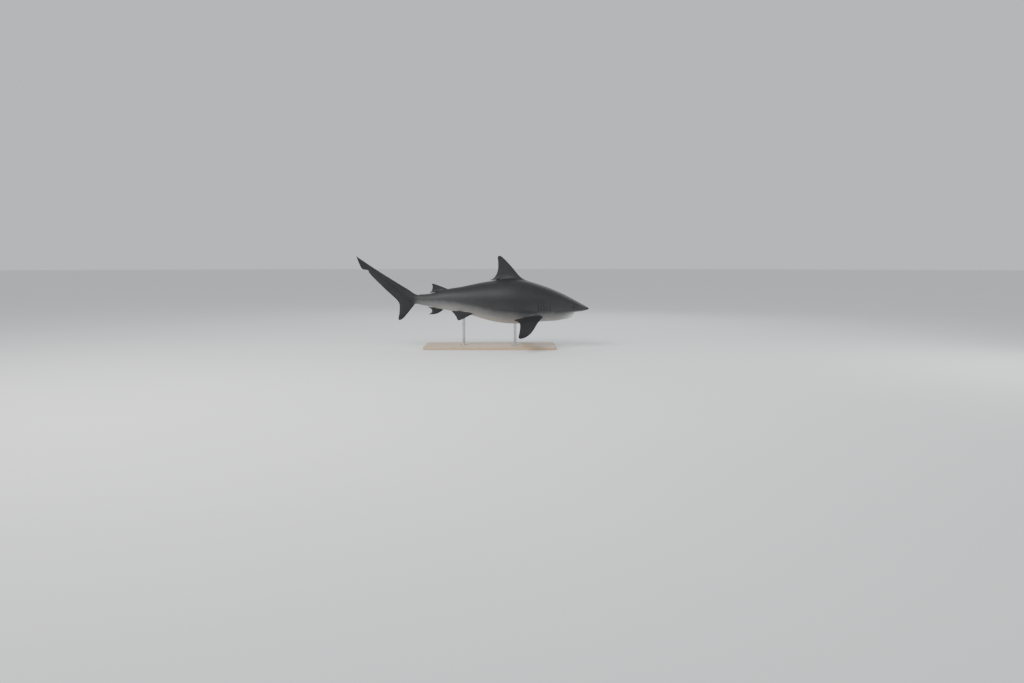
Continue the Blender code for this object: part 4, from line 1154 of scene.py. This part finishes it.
# ---- materials -----------------------------------------------------------------------------------------------------
class Nodes:
    """A short way to write shader nodes."""

    def __init__(self, name):
        self.material = bpy.data.materials.new(name)
        self.material.use_nodes = True
        self.tree = self.material.node_tree
        self.shader = self.tree.nodes["Principled BSDF"]

    def link(self, source, target):
        self.tree.links.new(source, target)

    def put(self, socket, value):
        if hasattr(value, "is_output"):
            self.link(value, socket)
        elif value is not None:
            socket.default_value = value

    def attribute(self, name, vector=False):
        n = self.tree.nodes.new("ShaderNodeAttribute")
        n.attribute_name = name
        return n.outputs["Vector" if vector else "Fac"]

    def math(self, what, a, b=None, c=None, clamp=False):
        n = self.tree.nodes.new("ShaderNodeMath")
        n.operation = what
        n.use_clamp = clamp
        for socket, value in zip(n.inputs, (a, b, c)):
            self.put(socket, value)
        return n.outputs[0]

    def range(self, value, low, high, to_low=0.0, to_high=1.0, kind="SMOOTHSTEP"):
        n = self.tree.nodes.new("ShaderNodeMapRange")
        n.interpolation_type = kind
        for socket, v in zip(n.inputs, (value, low, high, to_low, to_high)):
            self.put(socket, v)
        return n.outputs[0]

    def noise(self, vector, scale, detail=4.0, rough=0.55, distort=0.0):
        n = self.tree.nodes.new("ShaderNodeTexNoise")
        self.put(n.inputs["Vector"], vector)
        n.inputs["Scale"].default_value = scale
        n.inputs["Detail"].default_value = detail
        n.inputs["Roughness"].default_value = rough
        n.inputs["Distortion"].default_value = distort
        return n.outputs["Fac"]

    def voronoi(self, vector, scale, feature="F1", output="Distance", random=1.0):
        n = self.tree.nodes.new("ShaderNodeTexVoronoi")
        n.feature = feature
        self.put(n.inputs["Vector"], vector)
        n.inputs["Scale"].default_value = scale
        n.inputs["Randomness"].default_value = random
        return n.outputs[output]

    def scaled(self, vector, by):
        n = self.tree.nodes.new("ShaderNodeVectorMath")
        n.operation = "MULTIPLY"
        self.put(n.inputs[0], vector)
        n.inputs[1].default_value = by
        return n.outputs[0]

    def split(self, vector):
        n = self.tree.nodes.new("ShaderNodeSeparateXYZ")
        self.put(n.inputs[0], vector)
        return n.outputs

    def mix(self, factor, a, b, blend="MIX"):
        n = self.tree.nodes.new("ShaderNodeMix")
        n.data_type = "RGBA"
        n.blend_type = blend
        self.put(n.inputs[0], factor)
        self.put(n.inputs[6], a)
        self.put(n.inputs[7], b)
        return n.outputs[2]

    def bump(self, height, strength, distance, normal=None):
        n = self.tree.nodes.new("ShaderNodeBump")
        n.inputs["Strength"].default_value = strength
        n.inputs["Distance"].default_value = distance
        self.put(n.inputs["Height"], height)
        self.put(n.inputs["Normal"], normal)
        return n.outputs[0]


def skin_material():
    n = Nodes("shark_hide")
    where = n.attribute("straight", True)
    over, station, lateral = n.attribute("over"), n.attribute("station"), n.attribute("lateral")
    fin, tip, across = n.attribute("fin"), n.attribute("v"), n.attribute("u")
    crevice, under, lid = n.attribute("crevice"), n.attribute("under"), n.attribute("lid")
    streak = n.scaled(where, (0.35, 1.0, 1.0))

    broad = n.noise(streak, 7.0, 3.0)
    patch = n.noise(where, 26.0, 4.0, 0.6)
    fine = n.noise(where, 150.0, 3.0, 0.65)
    speck = n.noise(where, 700.0, 2.0, 0.7)
    swing_of = [n.math("SUBTRACT", v, 0.5) for v in (broad, patch, fine, speck)]

    # how dark: 1 on the back, 0 on the belly, with an uneven soft edge along the flank
    edge = n.math("MULTIPLY_ADD", swing_of[0], 3.0, over)
    edge = n.math("MULTIPLY_ADD", swing_of[1], 1.6, edge)
    edge = n.math("MULTIPLY_ADD", swing_of[2], 0.9, edge)
    dark = n.range(edge, -1.9, 1.7)
    deep = n.range(over, 0.3, 7.0)
    on_fin = n.range(fin, 0.05, 0.95)
    reach = n.math("MULTIPLY_ADD", swing_of[1], 0.35, tip)
    below = n.math("MULTIPLY", under, n.range(reach, 0.98, 0.62))
    fin_dark = n.math("SUBTRACT", 1.0, below)
    dark = n.math("ADD", n.math("MULTIPLY", dark, n.math("SUBTRACT", 1.0, on_fin)), n.math("MULTIPLY", fin_dark, on_fin))
    back = n.mix(deep, (0.042, 0.042, 0.0435, 1), (0.021, 0.0213, 0.0228, 1))
    back = n.mix(on_fin, back, (0.021, 0.0213, 0.0225, 1))
    pale = n.mix(n.range(over, -4.8, -0.6), (0.56, 0.555, 0.535, 1), (0.215, 0.216, 0.214, 1))
    colour = n.mix(dark, pale, back)
    tone = n.math("MULTIPLY_ADD", swing_of[1], 0.50, 1.0)
    tone = n.math("MULTIPLY_ADD", swing_of[0], 0.50, tone)
    tone = n.math("MULTIPLY_ADD", swing_of[2], 0.40, tone)
    tone = n.math("MULTIPLY_ADD", swing_of[3], 0.35, tone)
    tips = n.math("MULTIPLY", on_fin, n.range(tip, 0.70, 1.0))
    tone = n.math("MULTIPLY", tone, n.math("MULTIPLY_ADD", tips, -0.35, 1.0))

    # the fine line of pores along each flank, and the pores scattered over the snout
    body_only = n.math("SUBTRACT", 1.0, on_fin)
    along = n.math("MULTIPLY", n.range(station, 15.0, 22.0), n.range(station, 70.0, 62.0))
    along = n.math("MULTIPLY", along, n.range(n.noise(where, 55.0, 2.0), 0.36, 0.60))
    line = n.range(n.math("ABSOLUTE", n.math("MULTIPLY_ADD", swing_of[1], 0.16, lateral)), 0.10, 0.0)
    line = n.math("MULTIPLY", n.math("MULTIPLY", line, along), body_only)
    dots = n.range(n.voronoi(where, 150.0), 0.115, 0.070)
    dots = n.math("MULTIPLY", dots, n.range(n.noise(where, 34.0, 1.0), 0.50, 0.56))
    dots = n.math("MULTIPLY", dots, n.math("MULTIPLY", n.range(station, 10.0, 7.0), n.range(over, 4.0, 2.2)))
    tone = n.math("MULTIPLY", tone, n.math("MULTIPLY_ADD", line, -0.17, 1.0))
    tone = n.math("MULTIPLY", tone, n.math("MULTIPLY_ADD", dots, -0.55, 1.0))

    # faint rays spread over the fins
    ray = n.tree.nodes.new("ShaderNodeCombineXYZ")
    n.put(ray.inputs[0], n.math("MULTIPLY", across, 42.0))
    n.put(ray.inputs[1], n.math("MULTIPLY", tip, 3.0))
    rays = n.noise(ray.outputs[0], 1.0, 2.0, 0.5)
    rays = n.math("MULTIPLY", n.math("SUBTRACT", rays, 0.5), n.math("MULTIPLY", on_fin, n.range(tip, 0.10, 0.45)))
    tone = n.math("MULTIPLY_ADD", rays, 0.35, tone)

    grey = n.tree.nodes.new("ShaderNodeCombineColor")
    for k in range(3):
        n.put(grey.inputs[k], tone)
    colour = n.mix(1.0, colour, grey.outputs[0], "MULTIPLY")
    # painted shade: the skin turns near-black in the eye's rim, the nostril pit, the gill slits and the mouth crease
    colour = n.mix(n.math("MULTIPLY", crevice, 0.93), colour, (0.008, 0.0075, 0.0075, 1))
    n.put(n.shader.inputs["Base Color"], colour)
    rough = n.math("MULTIPLY_ADD", swing_of[1], 0.22, 0.50)
    rough = n.math("MULTIPLY_ADD", swing_of[3], 0.18, rough)
    n.put(n.shader.inputs["Roughness"], rough)
    n.shader.inputs["Specular IOR Level"].default_value = 0.26
    scales = n.voronoi(where, 780.0)
    grain = n.math("ADD", n.math("MULTIPLY", scales, 0.5), n.math("MULTIPLY", fine, 0.9))
    grain = n.math("SUBTRACT", grain, n.math("MULTIPLY", line, 0.4))
    grain = n.math("SUBTRACT", grain, n.math("MULTIPLY", dots, 1.2))
    grain = n.math("ADD", grain, n.math("MULTIPLY", rays, 1.6))
    n.put(n.shader.inputs["Normal"], n.bump(grain, 0.20, 0.0008, n.bump(patch, 0.06, 0.004)))
    return n.material


def eye_material():
    n = Nodes("shark_eye")
    local = n.attribute("local", True)
    x, y, z = n.split(local)
    r = n.math("SQRT", n.math("ADD", n.math("MULTIPLY", x, x), n.math("MULTIPLY", y, y)))
    wide = n.math("POWER", n.math("ABSOLUTE", n.math("DIVIDE", x, 0.15)), 2.0)
    tall = n.math("POWER", n.math("ABSOLUTE", n.math("DIVIDE", y, 0.42)), 2.0)
    slit = n.math("ADD", wide, tall)
    rays = n.tree.nodes.new("ShaderNodeCombineXYZ")
    n.put(rays.inputs[0], n.math("DIVIDE", x, n.math("ADD", r, 0.02)))
    n.put(rays.inputs[1], n.math("DIVIDE", y, n.math("ADD", r, 0.02)))
    n.put(rays.inputs[2], n.math("MULTIPLY", r, 0.5))
    streaks = n.noise(rays.outputs[0], 9.0, 4.0, 0.6)
    iris = n.mix(n.range(streaks, 0.32, 0.68), (0.008, 0.0078, 0.0065, 1), (0.034, 0.031, 0.021, 1))
    iris = n.mix(n.range(r, 0.50, 0.66), iris, (0.006, 0.006, 0.006, 1))
    iris = n.mix(n.range(slit, 1.35, 0.85), iris, (0.0012, 0.0012, 0.0015, 1))
    n.put(n.shader.inputs["Base Color"], iris)
    n.put(n.shader.inputs["Roughness"], n.math("MULTIPLY_ADD", streaks, 0.10, 0.22))
    n.shader.inputs["Specular IOR Level"].default_value = 0.08
    n.shader.inputs["Coat Weight"].default_value = 0.4
    n.shader.inputs["Coat Roughness"].default_value = 0.03
    return n.material


def wood_material():
    n = Nodes("stand_oak")
    coord = n.tree.nodes.new("ShaderNodeTexCoord").outputs["Object"]
    x, y, z = n.split(coord)
    wander = n.math("SUBTRACT", n.noise(n.scaled(coord, (0.9, 3.0, 3.0)), 1.0, 3.0), 0.5)
    ripple = n.math("SUBTRACT", n.noise(n.scaled(coord, (3.5, 30.0, 30.0)), 1.0, 2.0), 0.5)
    # distance from the heart of the trunk, which lies a hand's breadth under the board and slants along it
    from_y = n.math("MULTIPLY_ADD", x, 0.055, n.math("MULTIPLY_ADD", wander, 0.10, n.math("SUBTRACT", y, 0.03)))
    from_z = n.math("MULTIPLY_ADD", x, 0.060, n.math("MULTIPLY_ADD", wander, 0.05, n.math("ADD", z, 0.115)))
    away = n.math("SQRT", n.math("ADD", n.math("MULTIPLY", from_y, from_y), n.math("MULTIPLY", from_z, from_z)))
    away = n.math("MULTIPLY_ADD", ripple, 0.0020, away)
    year = n.math("FRACT", n.math("MULTIPLY", away, 150.0))
    late = n.math("MULTIPLY", n.range(year, 0.35, 0.93), n.range(year, 1.0, 0.95))
    pores = n.noise(n.scaled(coord, (26.0, 900.0, 900.0)), 1.0, 2.0, 0.6)
    fibre = n.noise(n.scaled(coord, (7.0, 300.0, 300.0)), 1.0, 3.0, 0.6)
    tone = n.mix(late, (0.500, 0.375, 0.245, 1), (0.360, 0.250, 0.150, 1))
    tone = n.mix(n.math("MULTIPLY", n.range(fibre, 0.30, 0.72), 0.45), tone, (0.56, 0.44, 0.30, 1))
    early = n.math("MULTIPLY", n.range(pores, 0.58, 0.70), n.math("MULTIPLY_ADD", late, -0.55, 0.75))
    tone = n.mix(early, tone, (0.20, 0.130, 0.075, 1))
    tone = n.mix(n.math("MULTIPLY", n.range(wander, -0.25, 0.25), 0.30), tone, (0.42, 0.30, 0.185, 1))
    n.put(n.shader.inputs["Base Color"], tone)
    n.put(n.shader.inputs["Roughness"], n.math("MULTIPLY_ADD", pores, 0.16, 0.30))
    n.put(n.shader.inputs["Normal"], n.bump(n.math("SUBTRACT", fibre, n.math("MULTIPLY", pores, 0.8)), 0.20, 0.0005))
    return n.material


def steel_material():
    n = Nodes("stand_brushed")
    coord = n.tree.nodes.new("ShaderNodeTexCoord").outputs["Object"]
    lines = n.noise(n.scaled(coord, (2600.0, 2600.0, 14.0)), 1.0, 2.0, 0.6)
    cloud = n.noise(coord, 38.0, 3.0)
    n.put(n.shader.inputs["Base Color"], n.mix(n.range(cloud, 0.3, 0.7), (0.56, 0.565, 0.57, 1), (0.49, 0.495, 0.505, 1)))
    n.shader.inputs["Metallic"].default_value = 1.0
    rough = n.math("MULTIPLY_ADD", lines, 0.16, 0.22)
    n.put(n.shader.inputs["Roughness"], n.math("MULTIPLY_ADD", cloud, 0.10, rough))
    n.put(n.shader.inputs["Normal"], n.bump(lines, 0.12, 0.0003))
    return n.material


body.data.materials.append(skin_material())
shine = eye_material()
for obj in eyes:
    obj.data.materials.append(shine)
steel = steel_material()
for obj in steel_pieces:
    obj.data.materials.append(steel)
plank.data.materials.append(wood_material())

# ---- floor, light, camera ------------------------------------------------------------------------------------------
bpy.ops.mesh.primitive_circle_add(vertices=128, radius=90, fill_type="NGON", location=(0, 0, -0.0005))
floor = bpy.context.object
floor.name = "floor"
paint = Nodes("floor_paint")
coord = paint.tree.nodes.new("ShaderNodeTexCoord").outputs["Object"]
paint.put(
    paint.shader.inputs["Base Color"],
    paint.mix(paint.noise(coord, 0.7, 3.0), (0.75, 0.755, 0.76, 1), (0.80, 0.80, 0.80, 1)),
)
paint.shader.inputs["Roughness"].default_value = 0.8
floor.data.materials.append(paint.material)


def area(name, location, target, size, power, colour=(1, 1, 1)):
    light = bpy.data.lights.new(name, "AREA")
    light.shape = "RECTANGLE"
    light.size, light.size_y = size
    light.energy = power
    light.color = colour
    obj = bpy.data.objects.new(name, light)
    obj.location = location
    obj.rotation_mode = "QUATERNION"
    obj.rotation_quaternion = (Vector(target) - Vector(location)).to_track_quat("-Z", "Y")
    bpy.context.scene.collection.objects.link(obj)


area("key", (-2.6, -4.4, 4.6), (0.1, 0, 0.4), (4.0, 3.0), 380, (1.0, 0.99, 0.97))
area("back", (1.5, 4.6, 3.6), (0, 0, 0.5), (5.0, 2.4), 70, (0.97, 0.985, 1.0))
area("side", (5.0, -1.8, 2.0), (0.6, 0, 0.4), (2.2, 2.2), 60)

world = bpy.data.worlds.new("studio")
bpy.context.scene.world = world
world.use_nodes = True
world.node_tree.nodes["Background"].inputs["Color"].default_value = (0.93, 0.955, 1.0, 1)
world.node_tree.nodes["Background"].inputs["Strength"].default_value = 0.70

camera_data = bpy.data.cameras.new("camera")
camera = bpy.data.objects.new("camera", camera_data)
camera_data.lens = 28.0
camera_data.sensor_width = 36.0
camera_data.clip_end = 400
camera.location = (0.3794, -7.8988, 0.8487)
camera.rotation_euler = (math.pi / 2 - math.radians(5.70), 0, 0)
bpy.context.scene.collection.objects.link(camera)
bpy.context.scene.camera = camera

bpy.context.view_layer.update()
